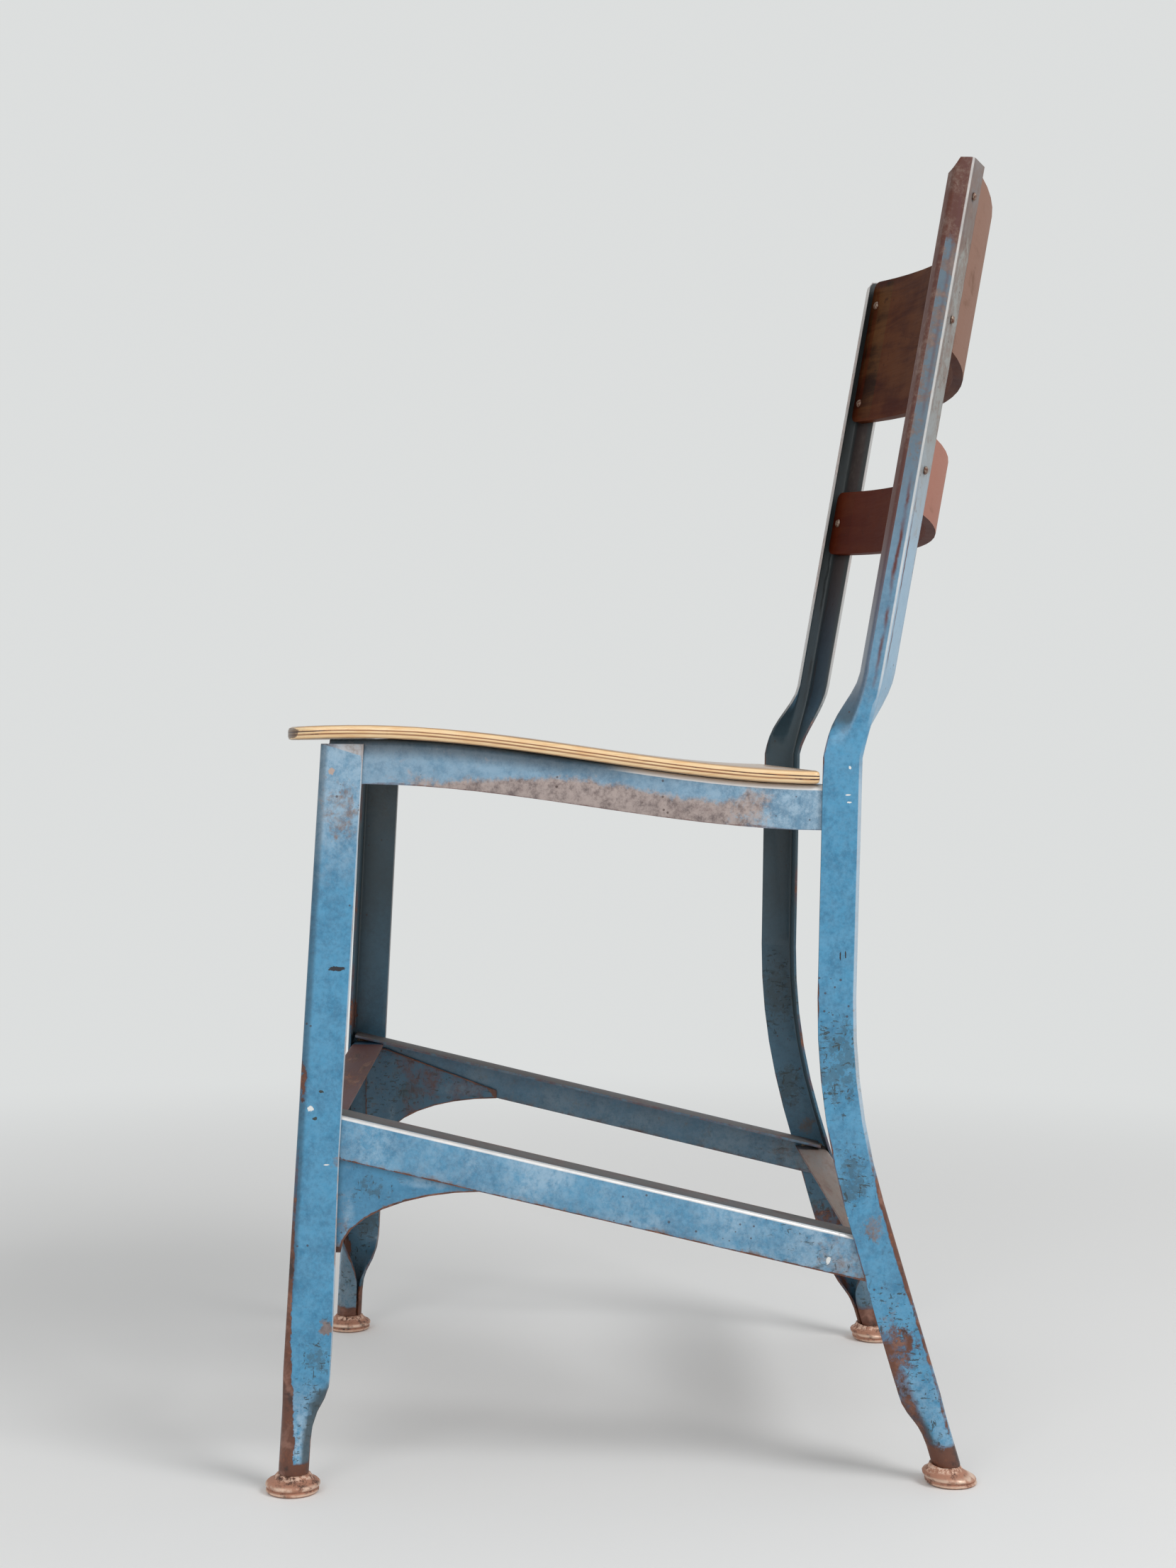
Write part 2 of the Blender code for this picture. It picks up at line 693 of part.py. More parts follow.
def glide_profile(tube):
    """Radii and heights of a glide that carries a tube of an outer radius."""
    stem = tube - SHEET - GLIDE_STEM_CLEARANCE
    dish = between(tube, GLIDE_RADIUS, GLIDE_DISH_REACH)
    dish_height = between(GLIDE_RIM, GLIDE_HEIGHT, GLIDE_DISH_RISE)
    return [
        (0.0, 0.0),
        (GLIDE_RADIUS - 2.0 * GLIDE_EDGE_ROUND, 0.0),
        (GLIDE_RADIUS - GLIDE_EDGE_ROUND / 2.0, GLIDE_EDGE_ROUND),
        (GLIDE_RADIUS, GLIDE_RIM / 2.0),
        (GLIDE_RADIUS - GLIDE_EDGE_ROUND, GLIDE_RIM),
        (dish, dish_height),
        (tube, GLIDE_HEIGHT),
        (stem, GLIDE_HEIGHT),
        (stem, GLIDE_STEM_HEIGHT),
        (0.0, GLIDE_STEM_HEIGHT),
    ]


def tube_radius(section):
    """Outer radius of the rolled end of a leg, across the chair."""
    outer, _ = section
    return -min(point[0] for point in outer) / 2.0


def front_tube_radius():
    return tube_radius(front_leg_section(FRONT_LEG_ROLL_END))


def rear_tube_radius():
    return tube_radius(rear_leg_section(REAR_LEG_ROLL_END))


def front_glide(name, sign):
    radius = front_tube_radius()
    bm = lathe(glide_profile(radius), GLIDE_SIDES)
    for vert in bm.verts:
        z = vert.co.z
        vert.co.x += sign * (front_half_width(z) - radius)
        vert.co.y += front_face(z) + radius
    return add_object(name, bm, RUSTED)


def rear_glide(name, sign):
    """Glide whose disc is thicker at its front, where the splayed leg lifts it."""
    radius = rear_tube_radius()
    bm = lathe(glide_profile(radius), GLIDE_SIDES)
    for vert in bm.verts:
        z = vert.co.z
        on_disc = z < GLIDE_HEIGHT - SAME_PLACE
        if on_disc:
            vert.co.z = z * (1.0 - REAR_GLIDE_TILT * vert.co.y / GLIDE_RADIUS)
        vert.co.x += sign * (rear_half_width(z) - radius)
        vert.co.y += rear_face(z) - radius / math.cos(LEG_SPLAY)
    return add_object(name, bm, RUSTED)


# Seat board

def seat_board(name):
    front = FRONT_LEG_TOP_HALF_WIDTH + SEAT_FRONT_OVERHANG
    rear = REAR_LEG_HALF_WIDTH + SEAT_REAR_OVERHANG
    outline = rounded_outline([
        (0.0, -front, SEAT_FRONT_CORNER),
        (SEAT_LENGTH, -rear, SEAT_REAR_CORNER),
        (SEAT_LENGTH, rear, SEAT_REAR_CORNER),
        (0.0, front, SEAT_FRONT_CORNER),
    ])
    margin = SEAT_FRONT_CORNER / 2.0
    cuts = steps(margin, SEAT_LENGTH - margin, SEAT_CUTS)

    def shape(y, x, height):
        return (x, y, seat_underside(y) + height)

    bm = bent_board(outline, SEAT_THICKNESS, cuts, SEAT_EDGE_ROUND, shape)
    return add_object(name, bm, BOARD)


# Back slats

LEAN_UP = (0.0, math.sin(POST_LEAN), math.cos(POST_LEAN))
LEAN_BACK = (0.0, math.cos(POST_LEAN), -math.sin(POST_LEAN))
SLAT_HALF_SPAN = REAR_LEG_HALF_WIDTH - SHEET - SLAT_END_CLEARANCE
RIVET_X = REAR_LEG_HALF_WIDTH - RIVET_FROM_CREASE * math.cos(POST_FLANGE_TWIST)
SLAT_RADIUS = RIVET_X / math.sin(POST_FLANGE_TWIST)


def flange_front(x):
    """How far behind the crease the front of the post's rear flange lies, along the lean."""
    across = (REAR_LEG_HALF_WIDTH - x) * math.tan(POST_FLANGE_TWIST)
    return across - SHEET / math.cos(POST_FLANGE_TWIST)


def lean_point(x, back, top_height, down):
    """World place of a point behind the crease line and down from a height on the post."""
    crease_y = rear_face(top_height)
    y = crease_y + back * LEAN_BACK[1] - down * LEAN_UP[1]
    z = top_height + back * LEAN_BACK[2] - down * LEAN_UP[2]
    return (x, y, z)


def slat_back_reach():
    sagitta = SLAT_RADIUS * (1.0 - math.cos(POST_FLANGE_TWIST))
    return flange_front(RIVET_X) - FIT_GAP / math.cos(POST_FLANGE_TWIST) + sagitta


def back_slat(name, top_height, height):
    half = SLAT_RADIUS * math.asin(SLAT_HALF_SPAN / SLAT_RADIUS)
    outline = rounded_outline([
        (-half, 0.0, SLAT_CORNER),
        (half, 0.0, SLAT_CORNER),
        (half, height, SLAT_CORNER),
        (-half, height, SLAT_CORNER),
    ])
    cuts = steps(-half + SLAT_CORNER, half - SLAT_CORNER, SLAT_CUTS)
    centre = slat_back_reach() - SLAT_RADIUS

    def shape(along_slat, down, depth):
        angle = along_slat / SLAT_RADIUS
        radius = SLAT_RADIUS - depth
        return lean_point(radius * math.sin(angle), centre + radius * math.cos(angle),
                          top_height, down)

    bm = bent_board(outline, SLAT_THICKNESS, cuts, 0.0, shape)
    return add_object(name, bm, SLATS)


# Fasteners

def rivet_places(side, sign):
    """Name, front face of the slat and the way to the rear, for each rivet of one post."""
    heading = (
        sign * math.sin(POST_FLANGE_TWIST),
        math.cos(POST_FLANGE_TWIST) * LEAN_BACK[1],
        math.cos(POST_FLANGE_TWIST) * LEAN_BACK[2],
    )
    front = slat_back_reach() - SLAT_RADIUS
    radius = SLAT_RADIUS - SLAT_THICKNESS
    x = radius * math.sin(POST_FLANGE_TWIST)
    back = front + radius * math.cos(POST_FLANGE_TWIST)
    spots = [
        ("upper_slat_rivet_top_", UPPER_SLAT_TOP, UPPER_RIVET_FROM_TOP),
        ("upper_slat_rivet_bottom_", UPPER_SLAT_TOP, UPPER_SLAT_HEIGHT - UPPER_RIVET_FROM_BOTTOM),
        ("lower_slat_rivet_", LOWER_SLAT_TOP, LOWER_SLAT_HEIGHT / 2.0),
    ]
    return [
        (name + side, lean_point(sign * x, back, top, down), heading) for name, top, down in spots
    ]


def rivet_profile():
    grip = SLAT_THICKNESS + SHEET + 3.0 * FIT_GAP
    head, tail, shank, rise = (
        RIVET_HEAD_RADIUS, RIVET_TAIL_RADIUS, RIVET_SHANK_RADIUS, RIVET_HEAD_HEIGHT)
    return [
        (0.0, -rise - FIT_GAP),
        (head * RIVET_CROWN, -rise - FIT_GAP),
        (head, -FIT_GAP),
        (shank, -FIT_GAP),
        (shank, grip),
        (tail, grip),
        (tail * RIVET_CROWN, grip + rise),
        (0.0, grip + rise),
    ]


def fastener(name, origin, heading, profile):
    bm = lathe(profile, FASTENER_SIDES)
    bm.transform(along(origin, heading))
    return add_object(name, bm, BARE_STEEL)


def screw_places(side, sign):
    """Name, underside of the rail's flange and the way up, for each seat screw of one side."""
    places = []
    for name, y in (("seat_screw_front_", SCREW_FRONT_Y), ("seat_screw_rear_", SCREW_REAR_Y)):
        top = rail_top(y)
        x = side_face(y, top) - LAYER - RAIL_FLANGE / 2.0
        places.append((name + side, (sign * x, y, top - SHEET), (0.0, 0.0, 1.0)))
    return places


def screw_profile():
    head, shank, rise = SCREW_HEAD_RADIUS, SCREW_SHANK_RADIUS, SCREW_HEAD_HEIGHT
    under = -2.0 * FIT_GAP
    tip = SHEET + SCREW_GRIP
    return [
        (0.0, under - rise),
        (head * SCREW_CROWN, under - rise),
        (head, under - rise / 2.0),
        (head, under),
        (shank, under),
        (shank, tip - shank),
        (0.0, tip),
    ]


# The whole chair

def clear_scene():
    for item in list(bpy.data.objects):
        bpy.data.objects.remove(item, do_unlink=True)


def build_frame():
    pieces = []
    for side, sign in SIDES:
        pieces.append(front_leg("front_leg_" + side, sign))
        pieces.append(rear_leg("rear_leg_" + side, sign))
        pieces.append(seat_rail("seat_rail_" + side, sign))
        pieces.append(side_stretcher("side_stretcher_" + side, sign))
        pieces.append(gusset("gusset_" + side, sign))
        pieces.append(front_glide("front_glide_" + side, sign))
        pieces.append(rear_glide("rear_glide_" + side, sign))
    pieces.append(front_seat_rail("seat_rail_front"))
    pieces.append(rear_seat_rail("seat_rail_rear"))
    pieces.append(front_stretcher("cross_stretcher_front"))
    pieces.append(rear_stretcher("cross_stretcher_rear"))
    return {piece.name: piece for piece in pieces}


def build_wood():
    pieces = [
        seat_board("seat_board"),
        back_slat("back_slat_upper", UPPER_SLAT_TOP, UPPER_SLAT_HEIGHT),
        back_slat("back_slat_lower", LOWER_SLAT_TOP, LOWER_SLAT_HEIGHT),
    ]
    return {piece.name: piece for piece in pieces}


def build_rivets(frame, wood):
    hole = RIVET_SHANK_RADIUS + FIT_GAP
    reach = SLAT_THICKNESS + SHEET + 2.0 * DRILL_RUN
    pieces, cutters, upper, lower = [], [], [], []
    for side, sign in SIDES:
        places = rivet_places(side, sign)
        starts = [drill_start(place) for place in places]
        upper += starts[:2]
        lower += starts[2:]
        cutters.append(drill(frame["rear_leg_" + side], starts, hole, reach))
        pieces += [fastener(*place, rivet_profile()) for place in places]
    cutters.append(drill(wood["back_slat_upper"], upper, hole, reach))
    cutters.append(drill(wood["back_slat_lower"], lower, hole, reach))
    return pieces, cutters


def build_screws(frame, wood):
    hole = SCREW_SHANK_RADIUS + FIT_GAP
    reach = DRILL_RUN + SHEET + SCREW_GRIP + 2.0 * FIT_GAP
    pieces, cutters, seat_holes = [], [], []
    for side, sign in SIDES:
        places = screw_places(side, sign)
        starts = [drill_start(place) for place in places]
        seat_holes += starts
        cutters.append(drill(frame["seat_rail_" + side], starts, hole, reach))
        pieces += [fastener(*place, screw_profile()) for place in places]
    cutters.append(drill(wood["seat_board"], seat_holes, hole, reach))
    return pieces, cutters


def drill_start(place):
    """Where a drill starts: a little before the fastener's place, on its line."""
    _, origin, heading = place
    return tuple(spot - DRILL_RUN * step for spot, step in zip(origin, heading)), heading


def box_middle():
    """Middle of the chair's depth, from the front glide to the back of the upper slat."""
    foremost = front_face(0.0) + front_tube_radius() - GLIDE_RADIUS
    rearmost = lean_point(0.0, slat_back_reach(), UPPER_SLAT_TOP, 0.0)[1]
    return (foremost + rearmost) / 2.0


def main():
    clear_scene()
    frame = build_frame()
    wood = build_wood()
    rivets, rivet_cutters = build_rivets(frame, wood)
    screws, screw_cutters = build_screws(frame, wood)
    chair = bpy.data.objects.new("chair", None)
    bpy.context.scene.collection.objects.link(chair)
    made = [*frame.values(), *wood.values(), *rivets, *screws, *rivet_cutters, *screw_cutters]
    for piece in made:
        piece.parent = chair
    chair.location = (0.0, -box_middle(), 0.0)
    bpy.context.view_layer.update()


main()
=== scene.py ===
"""Looks of the peeling paint chair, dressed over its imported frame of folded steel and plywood.

Metres, +Z up. The chair faces -Y and its left side is +X. Each shown piece is a finer copy of a
frame part, or is modelled anew over it. Painted pieces keep the distance to their cut edges and
to their folds on their points, and the worn paint reads both.
"""
import math
import random

import bmesh
import bpy
from bpy.props import FloatProperty, FloatVectorProperty, PointerProperty
from mathutils import Matrix, Vector, kdtree
from mathutils.bvhtree import BVHTree


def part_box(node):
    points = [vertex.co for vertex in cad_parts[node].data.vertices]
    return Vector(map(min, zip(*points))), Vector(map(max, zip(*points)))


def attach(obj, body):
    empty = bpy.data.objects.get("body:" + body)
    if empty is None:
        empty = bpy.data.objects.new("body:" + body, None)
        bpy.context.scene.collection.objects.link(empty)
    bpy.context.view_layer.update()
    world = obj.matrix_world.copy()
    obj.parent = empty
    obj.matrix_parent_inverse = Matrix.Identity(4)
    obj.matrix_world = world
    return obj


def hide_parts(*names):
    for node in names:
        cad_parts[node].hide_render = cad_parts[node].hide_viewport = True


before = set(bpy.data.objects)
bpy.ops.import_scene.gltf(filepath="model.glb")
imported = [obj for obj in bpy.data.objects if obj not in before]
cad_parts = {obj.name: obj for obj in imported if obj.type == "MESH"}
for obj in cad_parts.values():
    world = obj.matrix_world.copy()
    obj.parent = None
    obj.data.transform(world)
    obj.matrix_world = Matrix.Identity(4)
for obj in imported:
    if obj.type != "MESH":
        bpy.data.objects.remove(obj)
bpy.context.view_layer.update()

bl_info = {
    "name": "Peeling paint chair",
    "version": (1, 0, 0),
    "blender": (4, 5, 0),
    "location": "3D View > Sidebar > Chair",
    "description": "Dresses the frame of an old steel and plywood side chair",
    "category": "Object",
}

SEAT_FRONT_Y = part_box("seat_board")[0].y
SIDES = (("left", 1.0), ("right", -1.0))

# The photograph's frame, in pixels, and the camera fitted to it
PHOTO_HEIGHT = 2212
PHOTO_FOCAL = 3306
SENSOR_WIDTH = 36.0              # millimetres
EYE = Vector((1.5984, SEAT_FRONT_Y + 0.1622, 0.4554))
EYE_YAW = math.radians(0.894)
EYE_PITCH = math.radians(1.934)
EYE_ROLL = math.radians(-0.542)
HORIZON_DROP = 48                # pixels from the frame's middle to the lens axis


def colour_property(name, description, value):
    return FloatVectorProperty(
        name=name, description=description, subtype="COLOR", size=3, min=0.0, max=1.0,
        default=value)


def length_property(name, description, value):
    return FloatProperty(
        name=name, description=description, unit="LENGTH", min=0.0, precision=5, default=value)


class ChairPaint(bpy.types.PropertyGroup):
    """Colours and wear of the painted steel."""
    deep_blue: colour_property("Deep blue", "Paint in the darker mottles", (0.028, 0.172, 0.315))
    mid_blue: colour_property("Blue", "Paint in the lighter mottles", (0.070, 0.298, 0.500))
    grey_blue: colour_property("Grey blue", "Dull paint of the rails and posts", (0.190, 0.275, 0.365))
    pale_blue: colour_property("Chalky blue", "Paint rubbed and faded", (0.376, 0.530, 0.660))
    stain: colour_property("Stain", "Brown dirt on the paint", (0.150, 0.092, 0.070))
    blush: colour_property("Blush", "Pale brown bloom on the paint", (0.455, 0.345, 0.298))
    tan: colour_property("Tan", "Rubbed rear cross stretcher", (0.215, 0.155, 0.110))
    beige: colour_property("Beige", "Dull rear flanges of the posts", (0.270, 0.246, 0.209))
    # Darker brown-grey for the top flanges that face up
    under_dirt: colour_property("Dirt", "Dirt on flanges that face up", (0.085, 0.072, 0.062))
    # Painted shade: near black, for the gap under the seat and a corner line on the front legs
    hidden_dirt: colour_property("Gap", "Dirt in the gap under the seat", (0.010, 0.011, 0.013))
    # Partly grime, partly painted shade: inner faces and hollows darkened as if shaded
    grime_inside: colour_property("Grime", "Dirt on the inner faces", (0.036, 0.050, 0.053))
    scratch: colour_property("Scratch", "Dark scratches", (0.030, 0.044, 0.044))
    ink: colour_property("Ink", "Single dark marks", (0.018, 0.018, 0.024))
    chip_white: colour_property("Chip", "Small pale chips", (0.780, 0.790, 0.780))
    # Painted highlight: the pale, slightly metallic line along edges and folds
    worn_line: colour_property("Worn line", "Steel rubbed bright along a fold", (0.830, 0.810, 0.790))
    lip_brown: colour_property("Lip", "Red-brown front lips and tops of the posts", (0.095, 0.022, 0.010))
    primer: colour_property("Primer", "Dark red primer round a bare patch", (0.105, 0.036, 0.036))
    dark_rust: colour_property("Dark rust", "Deep rust", (0.045, 0.020, 0.015))
    brown_rust: colour_property("Brown rust", "Rust on bare steel", (0.125, 0.044, 0.024))
    orange_rust: colour_property("Orange rust", "Fresh rust", (0.270, 0.082, 0.030))
    pink_rust: colour_property("Pale rust", "Rust rubbed smooth", (0.360, 0.185, 0.135))
    copper: colour_property("Glide", "Rusty glides", (0.440, 0.215, 0.140))
    rubbed_rim: colour_property("Glide rim", "Rims of the glides, rubbed", (0.880, 0.660, 0.520))
    fastener: colour_property("Fastener", "Rivets and screws", (0.300, 0.230, 0.180))
    weld: colour_property("Weld", "Beads of weld", (0.520, 0.370, 0.220))
    paint_depth: length_property("Paint depth", "Thickness of the paint at a chip", 0.0003)


class ChairWood(bpy.types.PropertyGroup):
    """Colours of the plywood."""
    seat_light: colour_property("Seat, light", "Varnished face, light grain", (0.490, 0.290, 0.140))
    seat_dark: colour_property("Seat, dark", "Varnished face, dark grain", (0.255, 0.138, 0.055))
    seat_rubbed: colour_property("Seat, rubbed", "Varnish worn pale", (0.590, 0.420, 0.240))
    ply_light: colour_property("Ply, light", "Light plies at the edge", (0.930, 0.690, 0.400))
    ply_tan: colour_property("Ply, tan", "Fibres in the light plies", (0.800, 0.450, 0.190))
    ply_line: colour_property("Ply, line", "Glue lines at the edge", (0.250, 0.085, 0.025))
    ply_dark: colour_property("Ply, dark", "Cracks and dirt at the edge", (0.050, 0.016, 0.008))
    slat_dark: colour_property("Slat, dark", "Stained slat, shaded side", (0.021, 0.007, 0.0035))
    slat_brown: colour_property("Slat, brown", "Stained slat, grain", (0.110, 0.044, 0.015))
    slat_red: colour_property("Slat, red", "Redder stain of the lower slat", (0.085, 0.010, 0.003))
    slat_faded: colour_property("Slat, faded", "Back of the upper slat", (0.275, 0.155, 0.115))
    slat_rosy: colour_property("Slat, rosy", "Back of the lower slat", (0.390, 0.180, 0.135))


class ChairDetail(bpy.types.PropertyGroup):
    """Sizes of the small shapes."""
    cut_spacing: length_property("Cut spacing", "Steps along a dressed steel part", 0.007)
    sheet_round: length_property("Sheet edge", "Rounding of the sheet's cut edges", 0.0005)
    slat_round: length_property("Slat edge", "Rounding of the slats' edges", 0.0018)
    weld_radius: length_property("Weld bead", "Radius of a bead of weld", 0.0016)


class ChairStage(bpy.types.PropertyGroup):
    """Floor, light and camera."""
    floor: colour_property("Floor", "Floor under the chair", (0.860, 0.865, 0.860))
    background: colour_property("Background", "Backdrop and far floor", (0.720, 0.735, 0.732))
    key_power: FloatProperty(
        name="Key light", description="Power of the large light", unit="POWER", default=36.0)
    fill_power: FloatProperty(
        name="Fill light", description="Power of the light by the camera", unit="POWER",
        default=16.0)
    world_light: FloatProperty(
        name="Room light", description="Strength of the even light", default=0.52)


# Shader maths

class Value:
    """A shader socket that adds Math nodes when it is used in an expression."""

    def __init__(self, sheet, socket):
        self.sheet = sheet
        self.socket = socket

    def _math(self, operation, first, second):
        made = self.sheet.node("ShaderNodeMath", {"operation": operation}, {0: first, 1: second})
        return Value(self.sheet, made.outputs[0])

    def __add__(self, other):
        return self._math("ADD", self, other)

    __radd__ = __add__

    def __sub__(self, other):
        return self._math("SUBTRACT", self, other)

    def __rsub__(self, other):
        return self._math("SUBTRACT", other, self)

    def __mul__(self, other):
        return self._math("MULTIPLY", self, other)

    __rmul__ = __mul__

    def at_least(self, other):
        return self._math("MAXIMUM", self, other)

    def over(self, low, high):
        """0 below low and 1 above high, turning smoothly in between; high may be the lower."""
        made = self.sheet.node(
            "ShaderNodeMapRange", {"interpolation_type": "SMOOTHSTEP", "clamp": True},
            {"Value": self, "From Min": low, "From Max": high})
        return Value(self.sheet, made.outputs[0])

    def near(self, middle, reach):
        """1 at the middle and 0 from the reach on, to both sides."""
        gap = self.sheet.node("ShaderNodeMath", {"operation": "ABSOLUTE"}, {0: self - middle})
        return Value(self.sheet, gap.outputs[0]).over(reach, 0.0)


class Sheet:
    """The node tree of a material, or of the world."""

    def __init__(self, name, owner=None, across=1.0):
        self.material = owner or bpy.data.materials.new(name)
        self.material.use_nodes = True
        self.tree = self.material.node_tree
        self.tree.nodes.clear()
        self.object_place = self.node("ShaderNodeTexCoord").outputs["Object"]
        x, y, z = self.axes(self.object_place)
        self.place = self.vector(x * across, y, z)

    def node(self, kind, settings=None, inputs=None):
        """A node of a kind, its settings set first, then the values or links of its sockets."""
        made = self.tree.nodes.new(kind)
        for name, value in (settings or {}).items():
            setattr(made, name, value)
        for key, value in (inputs or {}).items():
            socket = made.inputs[key]
            source = value.socket if isinstance(value, Value) else value
            if isinstance(source, bpy.types.NodeSocket):
                self.tree.links.new(source, socket)
            else:
                socket.default_value = source
        return made

    def axes(self, vector):
        parts = self.node("ShaderNodeSeparateXYZ", {}, {0: vector})
        return [Value(self, parts.outputs[index]) for index in range(3)]

    def vector(self, x, y, z):
        return self.node("ShaderNodeCombineXYZ", {}, {0: x, 1: y, 2: z}).outputs[0]

    def normal(self):
        return self.axes(self.node("ShaderNodeNewGeometry").outputs["Normal"])

    def attribute(self, name):
        made = self.node("ShaderNodeAttribute", {"attribute_name": name})
        return Value(self, made.outputs["Fac"])

    def noise(self, scale, detail=4.0, roughness=0.55, vector=None, distortion=0.0):
        made = self.node("ShaderNodeTexNoise", {}, {
            "Vector": vector or self.place, "Scale": scale, "Detail": detail,
            "Roughness": roughness, "Distortion": distortion})
        return Value(self, made.outputs[0])

    def cells(self, scale):
        """Distance from each cell's own point, and a random value of the cell."""
        made = self.node("ShaderNodeTexVoronoi", {}, {"Vector": self.place, "Scale": scale})
        chance = self.axes(made.outputs["Color"])[0]
        return Value(self, made.outputs["Distance"]), chance

    def mix(self, first, second, share):
        made = self.node("ShaderNodeMix", {"data_type": "RGBA"}, {0: share})
        for index, colour in ((6, first), (7, second)):
            if isinstance(colour, bpy.types.NodeSocket):
                self.tree.links.new(colour, made.inputs[index])
            else:
                made.inputs[index].default_value = (*colour, 1.0)
        return made.outputs[2]

    def bump(self, height, depth, strength):
        made = self.node("ShaderNodeBump", {}, {
            "Strength": strength, "Distance": depth, "Height": height})
        return made.outputs[0]

    def finish(self, colour, roughness, normal, metallic=0.0, coat=0.0, coat_roughness=0.1,
               specular=0.5):
        shader = self.node("ShaderNodeBsdfPrincipled", {}, {
            "Base Color": colour, "Roughness": roughness, "Normal": normal,
            "Metallic": metallic, "Coat Weight": coat, "Coat Roughness": coat_roughness,
            "Specular IOR Level": specular})
        self.node("ShaderNodeOutputMaterial", {}, {0: shader.outputs[0]})
        return self.material


def rust_colour(sheet, paint):
    """Bare steel: dark and brown rust in soft patches, with orange and pale bloom."""
    broad = sheet.noise(60.0, 6.0, 0.62)
    fine = sheet.noise(380.0, 5.0, 0.7)
    colour = sheet.mix(paint.dark_rust, paint.brown_rust, (broad * 0.8 + fine * 0.2).over(0.34, 0.48))
    colour = sheet.mix(colour, paint.orange_rust, (broad * 0.5 + fine * 0.5).over(0.52, 0.68) * 0.8)
    bloom = sheet.noise(90.0, 5.0, 0.6, distortion=0.5)
    colour = sheet.mix(colour, paint.pink_rust, bloom.over(0.48, 0.70) * 0.50)
    return colour, fine


def strokes(sheet, scale, along, upward, least):
    """Short ragged strokes: the highest parts of a noise that is stretched one way."""
    x, y, z = sheet.axes(sheet.place)
    vector = sheet.vector(x * scale, y * (scale * along), z * (scale * upward))
    return sheet.noise(1.0, 3.0, 0.62, vector, 0.25).over(least, least + 0.045)


def most(first, *others):
    """The highest of some masks."""
    for other in others:
        first = first.at_least(other)
    return first


def oval(along, across, middle, reach):
    """A mask round a place given as (along, across), with its two half lengths."""
    first = (along - middle[0]) * (1.0 / reach[0])
    second = (across - middle[1]) * (1.0 / reach[1])
    return (first * first + second * second).over(1.0, 0.0)


TORN = 2.6                       # how far a torn outline strays, in half lengths


class PaintPlace:
    """What a painted surface knows about each of its points."""

    def __init__(self, name, across=1.0):
        sheet = Sheet(name, across=across)
        self.sheet = sheet
        self.x, self.y, self.z = sheet.axes(sheet.object_place)
        self.edge = sheet.attribute("edge")
        self.fold = sheet.attribute("fold")
        normal = sheet.normal()
        side = self.x.over(-0.02, 0.02) * 2.0 - 1.0
        facing = normal[0] * side
        self.inward = facing.over(-0.12, -0.55)
        self.outside = facing.over(0.30, 0.60)
        self.upward = normal[2].over(0.45, 0.80)
        self.forward = normal[1].over(-0.25, -0.60)
        self.turning = normal[1].over(-0.10, -0.36)
        self.backward = normal[1].over(0.35, 0.70)
        # Noises from coarse to fine, the last ones about their middle
        self.large = sheet.noise(17.0, 3.0)
        self.tear = sheet.noise(70.0, 7.0, 0.70, distortion=0.5) - 0.5
        self.speck = sheet.noise(330.0, 6.0, 0.75) - 0.5
        self.drift = [sheet.noise(scale, 6.0, 0.72) - 0.5 for scale in (190.0, 230.0)]

    def spot(self, middle, reach, raggedness=TORN):
        """An oval mask with a torn outline."""
        along = self.y + self.drift[0] * (reach[0] * raggedness)
        across = self.z + self.drift[1] * (reach[1] * raggedness)
        return oval(along, across, middle, reach)

    def spots(self, table, raggedness=TORN):
        """Spots given as middle, half lengths and strength, in one mask."""
        return most(*[
            self.spot(middle, reach, raggedness) * strength for middle, reach, strength in table
        ])

    def line(self, distance, width):
        """A worn line along an edge or fold, its width broken up by noise."""
        ragged = distance - self.tear * width * 1.6 - (self.large - 0.5) * width * 2.0
        return ragged.over(width * 1.35, width * 0.65)

    def worn_edges(self):
        """Here and there along the cut edges."""
        return self.line(self.edge, 0.0006) * self.large.over(0.44, 0.60) * 0.52


def faded(sheet, paint, place, chalk, grey):
    """Mottled blue, greyed and clouded with chalk, and its roughness."""
    mottle = sheet.noise(46.0, 6.0, 0.66)
    shade = (mottle * 0.5 + (place.speck + 0.5) * 0.5).over(0.36, 0.60)
    colour = sheet.mix(paint.deep_blue, paint.mid_blue, shade)
    dull = grey * (0.75 + 0.5 * place.large)
    colour = sheet.mix(colour, paint.grey_blue, dull)
    veil = sheet.noise(150.0, 8.0, 0.80) * 0.75 + place.large * 0.25
    cloudy = chalk * veil.over(0.38, 0.60) + place.upward * 0.08
    colour = sheet.mix(colour, paint.pale_blue, cloudy)
    return colour, 0.25 + 0.12 * mottle + cloudy * 0.12 + dull * 0.06


def dirtied(sheet, paint, place, colour, grime, bloom):
    """Brown dirt with its pale bloom, and painted shade on the inner faces, deeper towards the seat. Also
    gives the dirt's mask.
    """
    broken = place.tear * 1.1 + place.speck * 0.9
    stained = (grime + broken * grime.over(0.0, 0.15)).over(0.30, 0.75)
    pale_share = sheet.noise(150.0, 6.0, 0.74).over(0.30, 0.62) * bloom
    dirt = sheet.mix(paint.stain, paint.blush, pale_share)
    colour = sheet.mix(colour, dirt, stained * 0.88)
    # Painted shade: inner faces darker, more so under the seat
    shaded = place.inward * (0.48 + 0.26 * place.large + 0.30 * place.z.over(0.18, 0.38))
    return sheet.mix(colour, paint.grime_inside, shaded), stained


